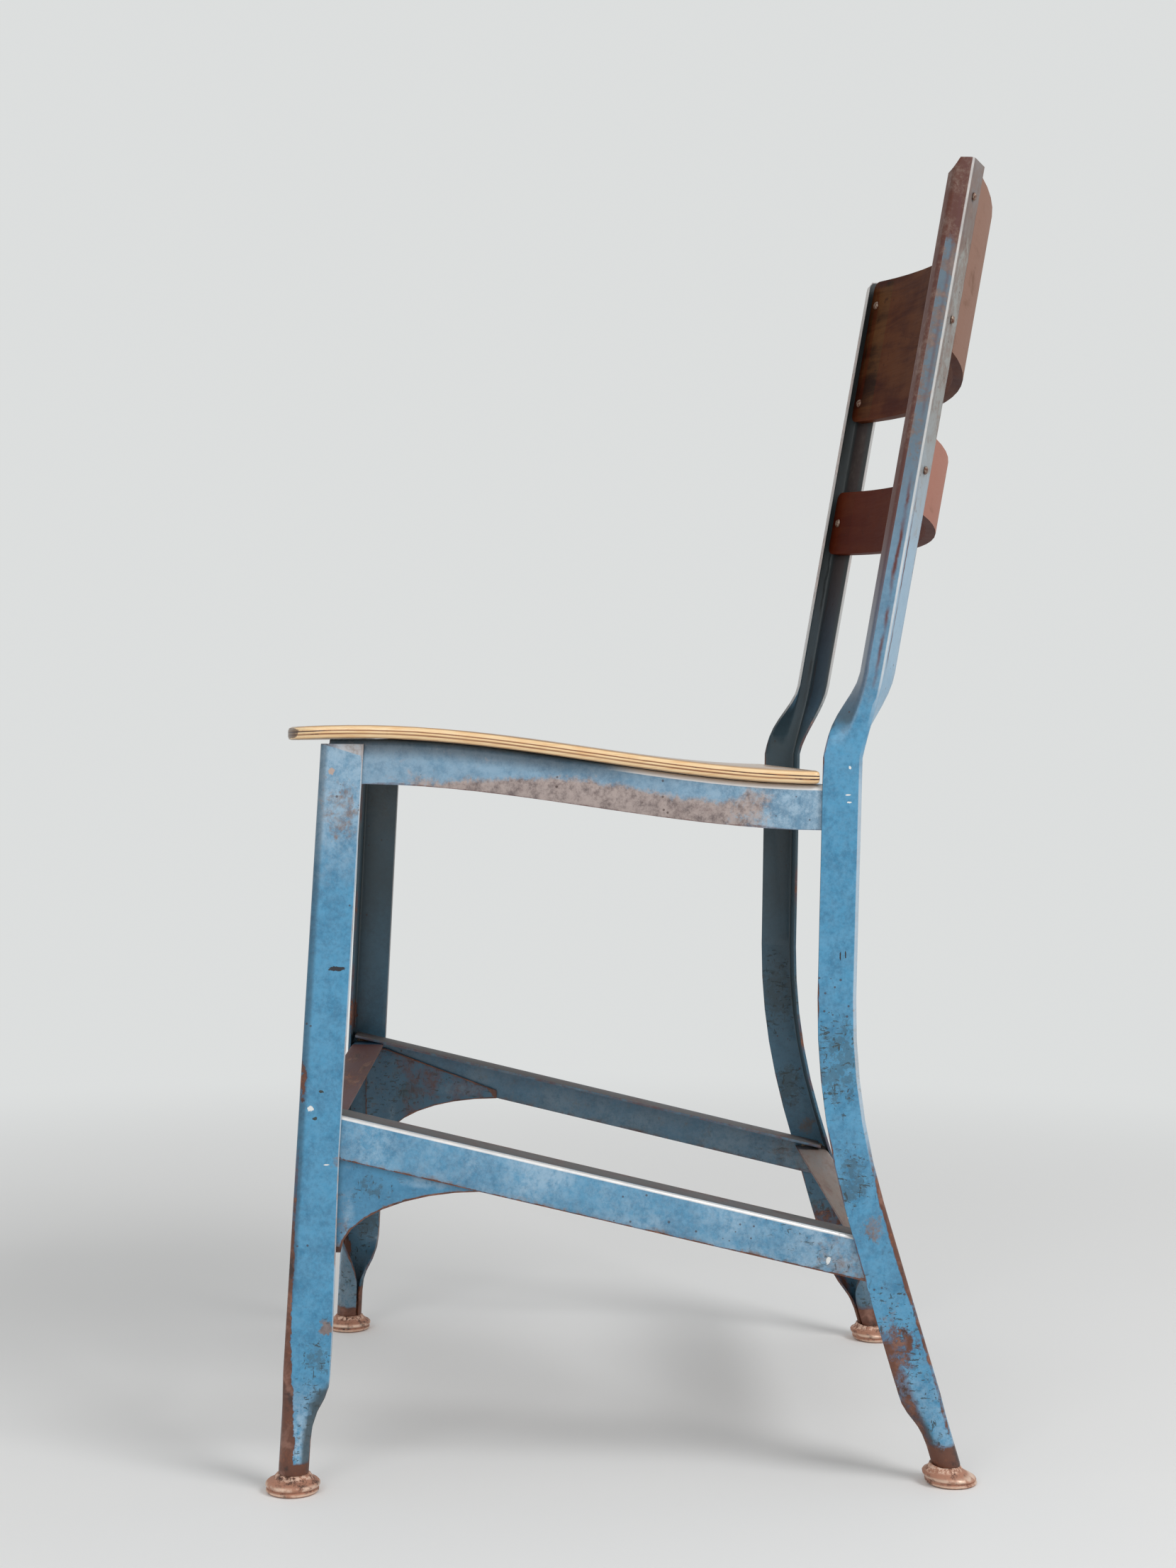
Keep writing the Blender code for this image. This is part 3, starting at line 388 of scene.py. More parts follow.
def scratched(sheet, paint, place, colour, busy):
    """Scratches and bruises in the busy places, and rusty dots. Also the scratches' mask."""
    across = strokes(sheet, 290.0, 0.50, 1.6, 0.605)
    upright = strokes(sheet, 250.0, 1.5, 0.55, 0.625)
    patches = (busy + place.tear * 0.9).over(0.30, 0.55)
    scratches = across.at_least(upright) * (patches * 0.92 + 0.08)
    colour = sheet.mix(colour, paint.scratch, scratches * 0.80)
    bruise = (busy * 0.50 + place.speck * 1.2 + place.tear * 0.9).over(0.36, 0.52)
    colour = sheet.mix(colour, paint.scratch, bruise * 0.50)
    distance, chance = sheet.cells(210.0)
    size = 0.10 + 0.16 * (place.tear + 0.5)
    dots = (size - distance).over(0.0, 0.05) * chance.over(0.86, 0.88)
    return sheet.mix(colour, paint.dark_rust, dots * 0.7), scratches


def rusted_through(sheet, paint, place, colour, bare):
    """Bare rusty steel with a halo of primer. Also the steel's mask and its grain."""
    field = bare + (place.tear * 0.62 + place.speck * 0.34)
    steel = field.over(0.46, 0.56)
    rust, grain = rust_colour(sheet, paint)
    colour = sheet.mix(colour, paint.primer, field.over(0.24, 0.50) * 0.60)
    return sheet.mix(colour, rust, steel), steel, grain


def painted(place, paint, bare, chalk, busy, grey, grime, tints, pale=None, bloom=0.30):
    """Worn blue paint. The arguments are masks of where the steel shows, and where the paint is
    chalky, scratched, greyed and stained brown, then pairs of a tint and its mask, some of
    them painted shade, the mask of a painted highlight line, and the share of pale stains."""
    sheet = place.sheet
    colour, gloss = faded(sheet, paint, place, chalk, grey)
    for tint, share in tints:
        colour = sheet.mix(colour, tint, share)
    matte = most(*[share for _, share in tints])
    colour, stained = dirtied(sheet, paint, place, colour, grime, bloom)
    colour, scratches = scratched(sheet, paint, place, colour, busy)
    colour, steel, grain = rusted_through(sheet, paint, place, colour, bare)
    # Painted highlight along edges and folds
    rubbed = 0.0
    if pale is not None:
        rubbed = pale * 0.3
        colour = sheet.mix(colour, paint.worn_line, pale)
    colour, chips = placed_marks(sheet, paint, colour, place)

    height = (1.0 - steel) * (1.0 - scratches * 0.8) + steel * grain * 0.35
    height = height + (place.speck + 0.5) * 0.05 + sheet.noise(30.0, 2.0) * 0.5
    normal = sheet.bump(height - chips * 0.7, paint.paint_depth, 0.75)
    roughness = most(gloss, steel * 0.52, stained * 0.50, matte * 0.72)
    coat = 0.15 * (1.0 - matte.at_least(stained))
    return sheet.finish(colour, roughness, normal, metallic=rubbed, coat=coat,
                        coat_roughness=0.14)


MARKS = (
    # colour, middle (y, z), half lengths (along y, along z)
    ("ink", (-0.1880, 0.3151), (0.0062, 0.0016)),
    ("chip_white", (-0.2028, 0.2309), (0.0021, 0.0018)),
    ("chip_white", (-0.1810, 0.2661), (0.0007, 0.0008)),
    ("chip_white", (-0.1927, 0.1973), (0.0018, 0.0005)),
    ("chip_white", (0.1219, 0.1658), (0.0016, 0.0009)),
    ("chip_white", (0.1116, 0.1393), (0.0017, 0.0026)),
    ("scratch", (-0.2000, 0.2250), (0.0016, 0.0013)),
    ("scratch", (-0.1965, 0.2413), (0.0014, 0.0010)),
    ("blush", (-0.1928, 0.4345), (0.0022, 0.0022)),
    ("chip_white", (0.1191, 0.4232), (0.0017, 0.0006)),
    ("chip_white", (0.1197, 0.4187), (0.0016, 0.0006)),
    ("chip_white", (0.1200, 0.4396), (0.0009, 0.0012)),
    ("ink", (0.1158, 0.3262), (0.0005, 0.0030)),
    ("ink", (0.1190, 0.3266), (0.0005, 0.0026)),
)


def placed_marks(sheet, paint, colour, place):
    """The few single marks on the outside of the left side."""
    outside = place.x.over(0.150, 0.152) * place.outside
    aside = [sheet.noise(scale, 4.0, 0.7) - 0.5 for scale in (520.0, 430.0)]
    chips = []
    for kind, middle, reach in MARKS:
        ragged_y = place.y + aside[0] * (reach[0] * 1.8)
        ragged_z = place.z + aside[1] * (reach[1] * 1.8)
        mark = oval(ragged_y, ragged_z, middle, reach).over(0.02, 0.25) * outside
        colour = sheet.mix(colour, getattr(paint, kind), mark)
        if kind == "chip_white":
            chips.append(mark)
    return colour, most(*chips)


POST_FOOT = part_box("seat_rail_rear")[1].z + 0.030
POST_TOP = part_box("rear_leg_left")[1].z
SEAT_BACK_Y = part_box("seat_board")[1].y
BETWEEN_SLATS = 0.660            # a height between the two slats
SHIN_ACROSS = (0.933, 0.361)     # way (y, z) straight back from the rear shin's front edge
SHIN_FRONT = 0.170               # distance of that edge from the origin, the same way
CROSS_STRETCH = 0.18             # share that draws the wear out along the cross stretchers

# Spots on the legs: middle (y, z), half lengths, strength
FRONT_LEG_STAINS = (
    ((-0.1860, 0.4120), (0.0200, 0.0300), 0.46),
    ((-0.1850, 0.1990), (0.0065, 0.0065), 0.62),
    ((-0.1909, 0.1000), (0.0070, 0.0060), 0.80),
)
FRONT_LEG_CHIPPED = (((-0.2075, 0.2450), (0.0030, 0.0180), 0.60),)
FRONT_LEG_SCRATCHED = (((-0.1980, 0.0810), (0.0120, 0.0160), 0.50),)
REAR_LEG_STAINS = (
    ((0.1387, 0.1604), (0.0085, 0.0120), 0.62),
    ((0.1500, 0.0850), (0.0170, 0.0340), 0.50),
)
REAR_LEG_CHIPPED = (((0.1555, 0.0850), (0.0180, 0.0210), 0.52),)
REAR_LEG_SCRATCHED = (
    ((0.1160, 0.2620), (0.0260, 0.0400), 0.95),
    ((0.1245, 0.1900), (0.0200, 0.0240), 0.95),
)


def front_leg_paint(paint):
    """Rust along the front corner from the stretcher down, chalky paint under the seat, painted shade
    along the front corner and inside the front flange, and a painted highlight along the rear edge.
    """
    place = PaintPlace("front_leg_paint")
    y, z, edge, fold = place.y, place.z, place.edge, place.fold
    under_seat = z.over(0.350, 0.415)
    width = -0.0004 + 0.0018 * z.over(0.215, 0.12) + 0.0034 * z.over(0.108, 0.045)
    strip = (fold - width - place.tear * 0.006 * z.over(0.24, 0.06)).over(0.0016, -0.0012)
    strip = strip * z.over(0.275, 0.20) * (0.66 + 0.22 * z.over(0.16, 0.08))
    ankle = z.over(0.022, 0.015)
    bare = most(strip, ankle * 0.85, place.worn_edges(), place.spots(FRONT_LEG_CHIPPED))
    grime = most(place.spots(FRONT_LEG_STAINS), z.over(0.060, 0.016) * 0.34)
    busy = z.over(0.17, 0.05) * 0.42 + place.spots(FRONT_LEG_SCRATCHED) + 0.10
    chalk = under_seat * 0.62 + z.over(0.075, 0.035) * 0.75 + 0.08
    grey = under_seat * 0.45
    # Painted highlight along the rear edge
    rear_edge_highlight = edge.over(0.0009, 0.0004) * y.over(-0.195, -0.185) * 0.40
    tints = (
        # Painted shade: a dark line along the front corner above the stretcher
        (paint.hidden_dirt, fold.over(0.0038, 0.0010) * z.over(0.10, 0.14) * 0.50),
        # Painted shade inside the front flange
        (paint.grime_inside, place.backward * 0.85),
    )
    return painted(place, paint, bare, chalk, busy, grey, grime, tints, rear_edge_highlight)


def post_tints(paint, place, on_post, high_up):
    """Colours of the back post: dull flange, blotches, brown lip and top, a line of primer, painted shade
    on the faces that look forward, and a web that darkens towards the top.
    """
    z = place.z
    web = 1.0 - place.backward
    lip = (place.turning + place.tear * 0.7).over(0.28, 0.60)
    top = (z.over(POST_TOP - 0.085, POST_TOP - 0.012) + place.tear).over(0.36, 0.56)
    blotches = (z.over(0.54, 0.70) * 0.40 + place.tear * 1.5 + place.speck * 0.5).over(0.26, 0.50)
    crease = (place.fold - place.tear * 0.004).near(0.0036, 0.0018)
    crease = crease * (z.over(0.66, 0.58) + high_up * 0.5) * place.large.over(0.36, 0.50) * on_post
    flange = place.backward * on_post
    dull_flange = flange * (z + place.tear * 0.10).over(0.56, 0.64)
    return (
        (paint.pale_blue, flange * (0.25 + 0.5 * place.large)),
        (paint.beige, dull_flange * (0.45 + 0.75 * place.large)),
        # Painted shade on the faces that look forward: the post's lip, and inside the rear flange below
        # the post
        (paint.deep_blue, place.forward * on_post * 0.35),
        (paint.grime_inside, place.forward * (0.88 - 0.83 * on_post)),
        # Darker towards the top of the post's web
        (paint.grime_inside, on_post * (0.18 + 0.38 * z.over(0.54, 0.66)) * web),
        (paint.stain, blotches * on_post * (1.0 - place.backward * 0.5) * 0.74),
        (paint.lip_brown, lip * on_post * (0.42 + 0.52 * high_up)),
        (paint.lip_brown, top * on_post * (0.94 - place.backward * 0.45)),
        (paint.primer, crease * 0.90),
    )


def rear_leg_paint(paint):
    """Clean at the seat, scratched at the knee, rusted along the rear corner and on the post, with a
    painted highlight along the rear corner, the post's crease and its inner rim.
    """
    place = PaintPlace("rear_leg_paint")
    y, z, edge, fold = place.y, place.z, place.edge, place.fold
    on_post = z.over(POST_FOOT, POST_FOOT + 0.05)
    high_up = z.over(0.50, 0.60)
    width = 0.0002 + 0.0013 * z.near(0.150, 0.060)
    strip = (fold - width - place.tear * 0.003).over(0.0014, -0.0010)
    strip = strip * z.over(0.230, 0.200) * 0.68
    ankle = z.over(0.032, 0.020)
    behind_shin = y * SHIN_ACROSS[0] + z * SHIN_ACROSS[1] - SHIN_FRONT
    front_side = behind_shin.over(0.0100, 0.0010) * z.over(0.112, 0.085)
    bare = most(strip, place.spots(REAR_LEG_CHIPPED), front_side * 0.56, ankle * 0.72,
                place.worn_edges())
    busy = most(place.spots(REAR_LEG_SCRATCHED, 1.5), z.over(0.16, 0.10) * 0.62,
                z.over(0.31, 0.28) * 0.28) + 0.05
    grime = most(place.spots(REAR_LEG_STAINS),
                 z.over(POST_TOP - 0.36, POST_TOP - 0.10) * on_post * 0.42)
    chalk = on_post * 0.20 * z.over(0.62, 0.50) + z.over(0.09, 0.055) * 0.30 + 0.10
    grey = on_post * (0.35 + 0.70 * z.over(0.50, 0.66))
    # Painted highlight along the rear corner, the post's crease and the post's inner rim
    corner = on_post * (0.10 + 0.9 * (place.tear + 0.5))
    corner = corner.at_least(z.over(0.18, 0.24) * z.over(0.46, 0.42) * 0.45)
    inner_rim_highlight = edge.over(0.0009, 0.0004) * place.inward * on_post * 0.55
    lit = (fold.over(0.0008, 0.0002) * corner).at_least(inner_rim_highlight)
    tints = post_tints(paint, place, on_post, high_up)
    return painted(place, paint, bare, chalk, busy, grey, grime, tints, lit)


def rail_paint(paint):
    """Greyed and chalky, rusted in a mottled band along its lower edge, with a painted highlight along
    its fold, and painted shade in the gap under the seat and under the board's front.
    """
    place = PaintPlace("rail_paint")
    y, edge, fold = place.y, place.edge, place.fold
    window = y.over(-0.175, -0.110) * y.over(0.108, 0.030)
    band = (edge - 0.0110 * y.over(-0.140, -0.030)).over(0.0090, -0.0040) * window
    bare = band * 0.24 * place.large.over(0.36, 0.52)
    bare = bare.at_least(place.line(edge, 0.0006) * 0.42)
    chalk = 0.46 + 0.44 * y.over(0.02, 0.08)
    grime = band * 0.95 + 0.22 * y.over(0.02, -0.02)
    # Painted highlight along the top fold
    pale = fold.over(0.0010, 0.0004) * y.over(-0.030, 0.0) * 0.95
    under_seat = y.over(SEAT_BACK_Y, SEAT_BACK_Y - 0.004)
    # Painted shade in the gap under the seat board
    gap = place.upward * fold.over(0.0008, 0.0016) * under_seat
    # Painted shadow of the seat board on the rail's front part
    painted_board_shadow = fold.over(0.0110, 0.0010) * y.over(0.02, -0.06) * 0.62
    tints = ((paint.hidden_dirt, gap.at_least(painted_board_shadow)),)
    return painted(place, paint, bare, chalk, band * 0.12, 0.55, grime, tints, pale, bloom=1.0)


def stretcher_paint(paint):
    """Cloudy paint, a painted highlight along the top fold, and a brown top flange."""
    place = PaintPlace("stretcher_paint")
    y, edge, fold = place.y, place.edge, place.fold
    top = place.upward * fold.over(0.0009, 0.0018)
    lower = place.line(edge, 0.0009) * (1.0 - top) * (1.0 - place.inward * 0.5)
    bare = (lower * 0.55).at_least(top * 0.30) + place.inward * 0.10
    grime = most(edge.over(0.0060, 0.0008) * 0.46, y.over(0.060, 0.125) * 0.44,
                 place.inward * 0.30)
    busy = 0.16 + 0.24 * y.over(0.02, 0.10)
    chalk = 0.24 + 0.45 * place.large.over(0.42, 0.62) * y.over(-0.150, -0.110)
    chalk = chalk + 0.35 * y.near(-0.165, 0.020)
    # Painted highlight along the top fold
    pale = fold.over(0.0009, 0.0003) * (0.50 + 0.80 * (place.tear + 0.5))
    tints = ((paint.under_dirt, top * 0.92),)
    return painted(place, paint, bare, chalk, busy, 0.18, grime, tints, pale)


def cross_front_paint(paint):
    """Rusted through to orange-brown over most of its length."""
    place = PaintPlace("cross_front_paint", CROSS_STRETCH)
    away = place.x.over(-0.164, -0.158)
    bare = (0.46 * away).at_least(place.line(place.edge, 0.0008) * 0.5)
    tints = ((paint.lip_brown, away * (0.75 + 0.35 * place.large)),)
    return painted(place, paint, bare, 0.15, 0.15, 0.3, 0.25 * away, tints)


def cross_rear_paint(paint):
    """Rubbed to a tan brown."""
    place = PaintPlace("cross_rear_paint", CROSS_STRETCH)
    bare = 0.26 + place.line(place.edge, 0.0008) * 0.2
    grime = 0.42 + 0.2 * place.large
    tints = ((paint.tan, 0.60 + 0.5 * place.large),)
    return painted(place, paint, bare, 0.3, 0.2, 0.6, grime, tints)


def gusset_paint(paint):
    """Crazed paint, rubbed grey beside the leg, with a brown arch."""
    place = PaintPlace("gusset_paint")
    y, z, edge = place.y, place.z, place.edge
    arch = place.line(edge, 0.0010)
    bare = (arch * 0.60).at_least(place.inward * 0.36 * place.large.over(0.40, 0.55))
    beside_leg = y.near(-0.1795, 0.0050) * z.over(0.185, 0.165)
    glow = place.spot((-0.128, 0.187), (0.024, 0.006), 1.0)
    crazed = place.spot((-0.166, 0.185), (0.012, 0.010))
    chalk = 0.08 + (beside_leg * 0.85).at_least(glow * 0.8)
    busy = 0.34 + crazed * 0.5 + place.inward * 0.25
    grime = most(edge.over(0.0040, 0.0006) * 0.5, place.inward * 0.36,
                 y.over(-0.170, -0.182) * 0.34)
    tints = ((paint.deep_blue, 0.55 - 0.3 * place.large),)
    return painted(place, paint, bare, chalk, busy, 0.10, grime, tints)


# Heights of the glides' rims and of the crust on their necks, for their rust
RIM_HEIGHTS = ((0.0050, 0.0020), (0.0014, 0.0013))
CRUST_FOOT, CRUST_FULL = 0.0080, 0.0096


def rusted_glides(paint):
    """Copper-brown rust, rubbed pale and bright along the rims."""
    sheet = Sheet("rusted_glides")
    z = sheet.axes(sheet.place)[2]
    broad = sheet.noise(75.0, 5.0, 0.62)
    fine = sheet.noise(420.0, 5.0, 0.7)
    rusty = (broad * 0.5 + fine * 0.5).over(0.36, 0.52)
    colour = sheet.mix(paint.dark_rust, paint.copper, rusty)
    rim = most(*[z.near(height, reach) for height, reach in RIM_HEIGHTS])
    rubbed = rim * sheet.noise(120.0, 3.0).over(0.34, 0.52)
    crust = z.over(CRUST_FOOT, CRUST_FULL) * fine.over(0.48, 0.56)
    colour = sheet.mix(colour, paint.rubbed_rim, (rubbed * 0.85).at_least(crust * 0.6))
    height = fine * 0.8 + sheet.noise(150.0, 4.0) * 0.8
    normal = sheet.bump(height, 0.0006, 0.6)
    roughness = 0.50 + 0.25 * fine - rubbed * 0.22
    return sheet.finish(colour, roughness, normal, metallic=0.25 + rubbed * 0.45)


def worn_fasteners(paint):
    """Dull steel with brown stains."""
    sheet = Sheet("worn_fasteners")
    stain = sheet.noise(600.0, 4.0, 0.6)
    colour = sheet.mix(paint.fastener, paint.brown_rust, stain.over(0.40, 0.58))
    normal = sheet.bump(sheet.noise(1500.0, 3.0), 0.0002, 0.5)
    return sheet.finish(colour, 0.34 + 0.4 * stain, normal, metallic=0.35)


def weld_crust(paint):
    """Scaly tan beads with orange rust."""
    sheet = Sheet("weld_crust")
    stain = sheet.noise(420.0, 5.0, 0.65)
    colour = sheet.mix(paint.weld, paint.orange_rust, stain.over(0.42, 0.60))
    normal = sheet.bump(stain, 0.0005, 0.8)
    return sheet.finish(colour, 0.55 + 0.2 * stain, normal)


# Glue lines of the seat: height across the edge, half width, strength
GLUE_LINES = ((0.03, 0.07, 1.0), (0.36, 0.11, 0.85), (0.60, 0.08, 1.0), (0.97, 0.05, 0.8))


def seat_face(sheet, wood, pores):
    """Figured grain from front to back, and the patches where its varnish is rubbed pale."""
    x, y, _ = sheet.axes(sheet.place)
    swirl = sheet.noise(3.0, 2.0) * 0.06
    grain_place = sheet.vector((x + swirl) * 95.0, y * 4.5, 0.0)
    rings = sheet.noise(1.0, 6.0, 0.62, grain_place, 0.35)
    figure = sheet.noise(9.0, 5.0, 0.6)
    grain = (rings * 0.6 + pores * 0.15 + figure * 0.25).over(0.36, 0.62)
    colour = sheet.mix(wood.seat_light, wood.seat_dark, grain)
    rubbed = sheet.noise(13.0, 6.0, 0.6).over(0.52, 0.74)
    return sheet.mix(colour, wood.seat_rubbed, rubbed * 0.45), rubbed


def glue_lines(sheet):
    """A mask of the wavering glue lines, from the depth kept on the seat's points."""
    depth = sheet.attribute("ply_depth")
    waver = depth + (sheet.noise(26.0, 3.0) - 0.5) * 0.06
    lines = []
    for middle, reach, strength in GLUE_LINES:
        varied = strength + 0.9 * (sheet.noise(19.0 + 9.0 * middle, 3.0) - 0.5)
        lines.append(waver.near(middle, reach).over(0.05, 0.75) * varied)
    return most(*lines)


def seat_edge(sheet, wood, line, fibre, turned_forward):
    """Light plies with dark glue lines, cracked at both ends and dirty at the front."""
    y = sheet.axes(sheet.place)[1]
    colour = sheet.mix(wood.ply_light, wood.ply_tan, fibre.over(0.38, 0.70) * 0.8)
    colour = sheet.mix(colour, wood.ply_line, line)
    end = (y.over(-0.180, SEAT_FRONT_Y)).at_least(y.over(0.075, 0.100))
    cracks = (line + end * 0.25 + (sheet.noise(60.0, 6.0, 0.7) - 0.5)).over(0.98, 1.12)
    colour = sheet.mix(colour, wood.ply_dark, cracks)
    smudge = (sheet.noise(130.0, 5.0, 0.7) - 0.5) * 1.6
    tip = (turned_forward + smudge).over(0.50, 0.75)
    return sheet.mix(colour, wood.ply_dark, tip * 0.85)


def varnished_plywood(wood):
    """The seat: grain on its faces, light plies with dark glue lines at its edge."""
    sheet = Sheet("varnished_plywood")
    x, y, z = sheet.axes(sheet.place)
    normal = sheet.normal()
    on_face = (normal[2] * normal[2]).over(0.35, 0.70)
    pores = sheet.noise(1.0, 3.0, 0.6, sheet.vector(x * 900.0, y * 40.0, 0.0))
    fibre = sheet.noise(1.0, 5.0, 0.65, sheet.vector(x * 60.0, y * 60.0, z * 1100.0))
    line = glue_lines(sheet)
    face, rubbed = seat_face(sheet, wood, pores)
    edge = seat_edge(sheet, wood, line, fibre, normal[1].over(-0.45, -0.85))
    colour = sheet.mix(edge, face, on_face)
    height = line * -0.5 * (1.0 - on_face) + pores * 0.2 + fibre * 0.15
    bump = sheet.bump(height, 0.0003, 0.45)
    roughness = 0.22 + 0.16 * pores + 0.10 * rubbed
    return sheet.finish(colour, roughness, bump, coat=0.35, coat_roughness=0.15)


def stained_slats(wood):
    """Dark and satin in front, faded and pinkish on their backs."""
    sheet = Sheet("stained_slats")
    x, y, z = sheet.axes(sheet.place)
    normal = sheet.normal()
    back = normal[1].over(0.20, 0.50)
    swirl = sheet.noise(6.0, 3.0) * 1.4
    grain_place = sheet.vector(x * 7.0, y * 7.0, z * 70.0 + swirl)
    grain = sheet.noise(1.0, 7.0, 0.68, grain_place, 0.6)
    pores = sheet.noise(1.0, 3.0, 0.6, sheet.vector(x * 60.0, y * 60.0, z * 900.0))
    cloud = sheet.noise(26.0, 6.0, 0.62)
    lower = z.over(BETWEEN_SLATS + 0.005, BETWEEN_SLATS - 0.005)

    brown = (grain * 0.55 + cloud * 0.45).over(0.38, 0.60)
    dark = sheet.mix(wood.slat_dark, wood.slat_brown, brown)
    reddened = lower * 0.36 * (0.4 + 1.2 * cloud) + 0.35 * z.over(0.72, 0.69)
    dark = sheet.mix(dark, wood.slat_red, reddened)
    spots = sheet.noise(120.0, 5.0, 0.7).over(0.60, 0.72)
    dark = sheet.mix(dark, wood.slat_dark, spots * 0.7)

    faded_back = sheet.mix(wood.slat_faded, wood.slat_rosy, lower)
    streaks = (grain * 0.5 + cloud * 0.5).over(0.52, 0.70) * 0.7
    faded_back = sheet.mix(faded_back, wood.slat_brown, streaks)
    colour = sheet.mix(dark, faded_back, back)
    rim = (sheet.attribute("edge") - (cloud - 0.5) * 0.004).over(0.0026, 0.0008)
    colour = sheet.mix(colour, wood.slat_red, rim * 0.35 * (1.0 - back))
    bump = sheet.bump(grain * 0.5 + pores * 0.4, 0.0003, 0.5)
    roughness = 0.50 + 0.16 * pores + back * 0.08
    return sheet.finish(colour, roughness, bump, specular=0.08)


# Squared distances from the chair between which the floor turns into the background
FADE_START, FADE_END = 0.20, 2.6


def stage_floor(stage):
    """Pale floor under the chair that turns into the plain background further out."""
    sheet = Sheet("pale_floor")
    x, y, _ = sheet.axes(sheet.place)
    grain = sheet.noise(9.0, 3.0)
    lit = sheet.node("ShaderNodeBsdfPrincipled", {}, {
        "Base Color": (*stage.floor, 1.0), "Roughness": 0.75,
        "Normal": sheet.bump(grain, 0.0005, 0.1)})
    plain = sheet.node("ShaderNodeEmission", {}, {"Color": (*stage.background, 1.0)})
    away = (x * x + y * y).over(FADE_START, FADE_END)
    mixed = sheet.node("ShaderNodeMixShader", {}, {
        0: away, 1: lit.outputs[0], 2: plain.outputs[0]})
    sheet.node("ShaderNodeOutputMaterial", {}, {0: mixed.outputs[0]})
    return sheet.material


# Meshes

def use_only(*objects):
    """Leaves only these objects selected, the last of them active."""
    if bpy.context.mode != "OBJECT":
        bpy.ops.object.mode_set(mode="OBJECT")
    bpy.ops.object.select_all(action="DESELECT")
    for item in objects:
        item.select_set(True)
    bpy.context.view_layer.objects.active = objects[-1]


def start_edit(piece):
    """Opens a piece for editing, with all its faces selected."""
    use_only(piece)
    bpy.ops.object.mode_set(mode="EDIT")
    bpy.ops.mesh.select_mode(type="FACE")
    bpy.ops.mesh.select_all(action="SELECT")


def end_edit():
    bpy.ops.object.mode_set(mode="OBJECT")


def rename(piece, name):
    """Names an object and its mesh."""
    piece.name = name
    piece.data.name = name


MERGE_DISTANCE = 1e-5
FLAT = math.radians(2.0)
SKEWED = math.radians(60.0)


def finer_copy(node, name):
    """A copy of a frame part, with its loose triangles merged into one closed mesh."""
    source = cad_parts[node]
    piece = source.copy()
    piece.data = source.data.copy()
    rename(piece, name)
    piece.parent = None
    for key in list(piece.keys()):
        del piece[key]
    bpy.context.scene.collection.objects.link(piece)
    start_edit(piece)
    bpy.ops.mesh.remove_doubles(threshold=MERGE_DISTANCE)
    bpy.ops.mesh.tris_convert_to_quads(face_threshold=FLAT, shape_threshold=SKEWED)
    end_edit()
    return piece


def cut_across(piece, axis, spacing):
    """Cuts a piece every spacing along an axis, so that its points can hold the wear."""
    coordinates = [vert.co[axis] for vert in piece.data.vertices]
    low, high = min(coordinates), max(coordinates)
    count = max(int((high - low) / spacing), 1)
    normal = [0.0, 0.0, 0.0]
    normal[axis] = 1.0
    use_only(piece)
    bpy.ops.object.mode_set(mode="EDIT")
    for index in range(1, count):
        place = [0.0, 0.0, 0.0]
        place[axis] = low + (high - low) * index / count
        bpy.ops.mesh.select_all(action="SELECT")
        bpy.ops.mesh.bisect(plane_co=place, plane_no=normal)
    end_edit()


SAMPLE_STEP = 0.0012
SHARP = math.radians(55.0)       # least angle at a cut edge
BENT = math.radians(11.0)        # least angle between two faces of a rounded fold
FACING = math.cos(math.radians(27.0))
FURTHEST = 0.05                  # longest distance that is kept


def edge_samples(piece, lowest, highest, toward=None):
    """Points along the mesh edges whose faces meet at an angle between two values, and which
    face a given way, told for the left side."""
    bm = bmesh.new()
    bm.from_mesh(piece.data)
    points = []
    for edge in bm.edges:
        if not edge.is_manifold or not lowest <= edge.calc_face_angle() < highest:
            continue
        start, end = edge.verts[0].co, edge.verts[1].co
        if toward is not None:
            facing = sum((face.normal for face in edge.link_faces), Vector()).normalized()
            if start.x < 0.0:
                facing.x = -facing.x
            if facing.dot(toward) < FACING:
                continue
        count = int((end - start).length / SAMPLE_STEP) + 1
        points += [start.lerp(end, index / count) for index in range(count + 1)]
    bm.free()
    return points


def keep_distances(piece, name, points):
    """Keeps each point's distance to the nearest of some points as an attribute."""
    tree = kdtree.KDTree(len(points))
    for index, point in enumerate(points):
        tree.insert(point, index)
    tree.balance()
    mesh = piece.data
    distances = [
        min(tree.find(vert.co)[2], FURTHEST) if points else FURTHEST for vert in mesh.vertices
    ]
    attribute = mesh.attributes.new(name, "FLOAT", "POINT")
    attribute.data.foreach_set("value", distances)


def round_edges(piece, width, segments=2, angle=SHARP):
    bevel = piece.modifiers.new("round", "BEVEL")
    bevel.width = width
    bevel.segments = segments
    bevel.limit_method = "ANGLE"
    bevel.angle_limit = angle
    bevel.use_clamp_overlap = True
    use_only(piece)
    bpy.ops.object.modifier_apply(modifier=bevel.name)


def smooth(piece, degrees=34.0):
    use_only(piece)
    bpy.ops.object.shade_smooth_by_angle(angle=math.radians(degrees))


def wear_finish(piece, material, node=None):
    """Gives a finished piece its material and its body."""
    piece.data.materials.clear()
    piece.data.materials.append(material)
    if node is not None:
        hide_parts(node)
    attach(piece, "root")


def material_of(make, settings):
    """The material that a function makes, made only once."""
    return bpy.data.materials.get(make.__name__) or make(settings)


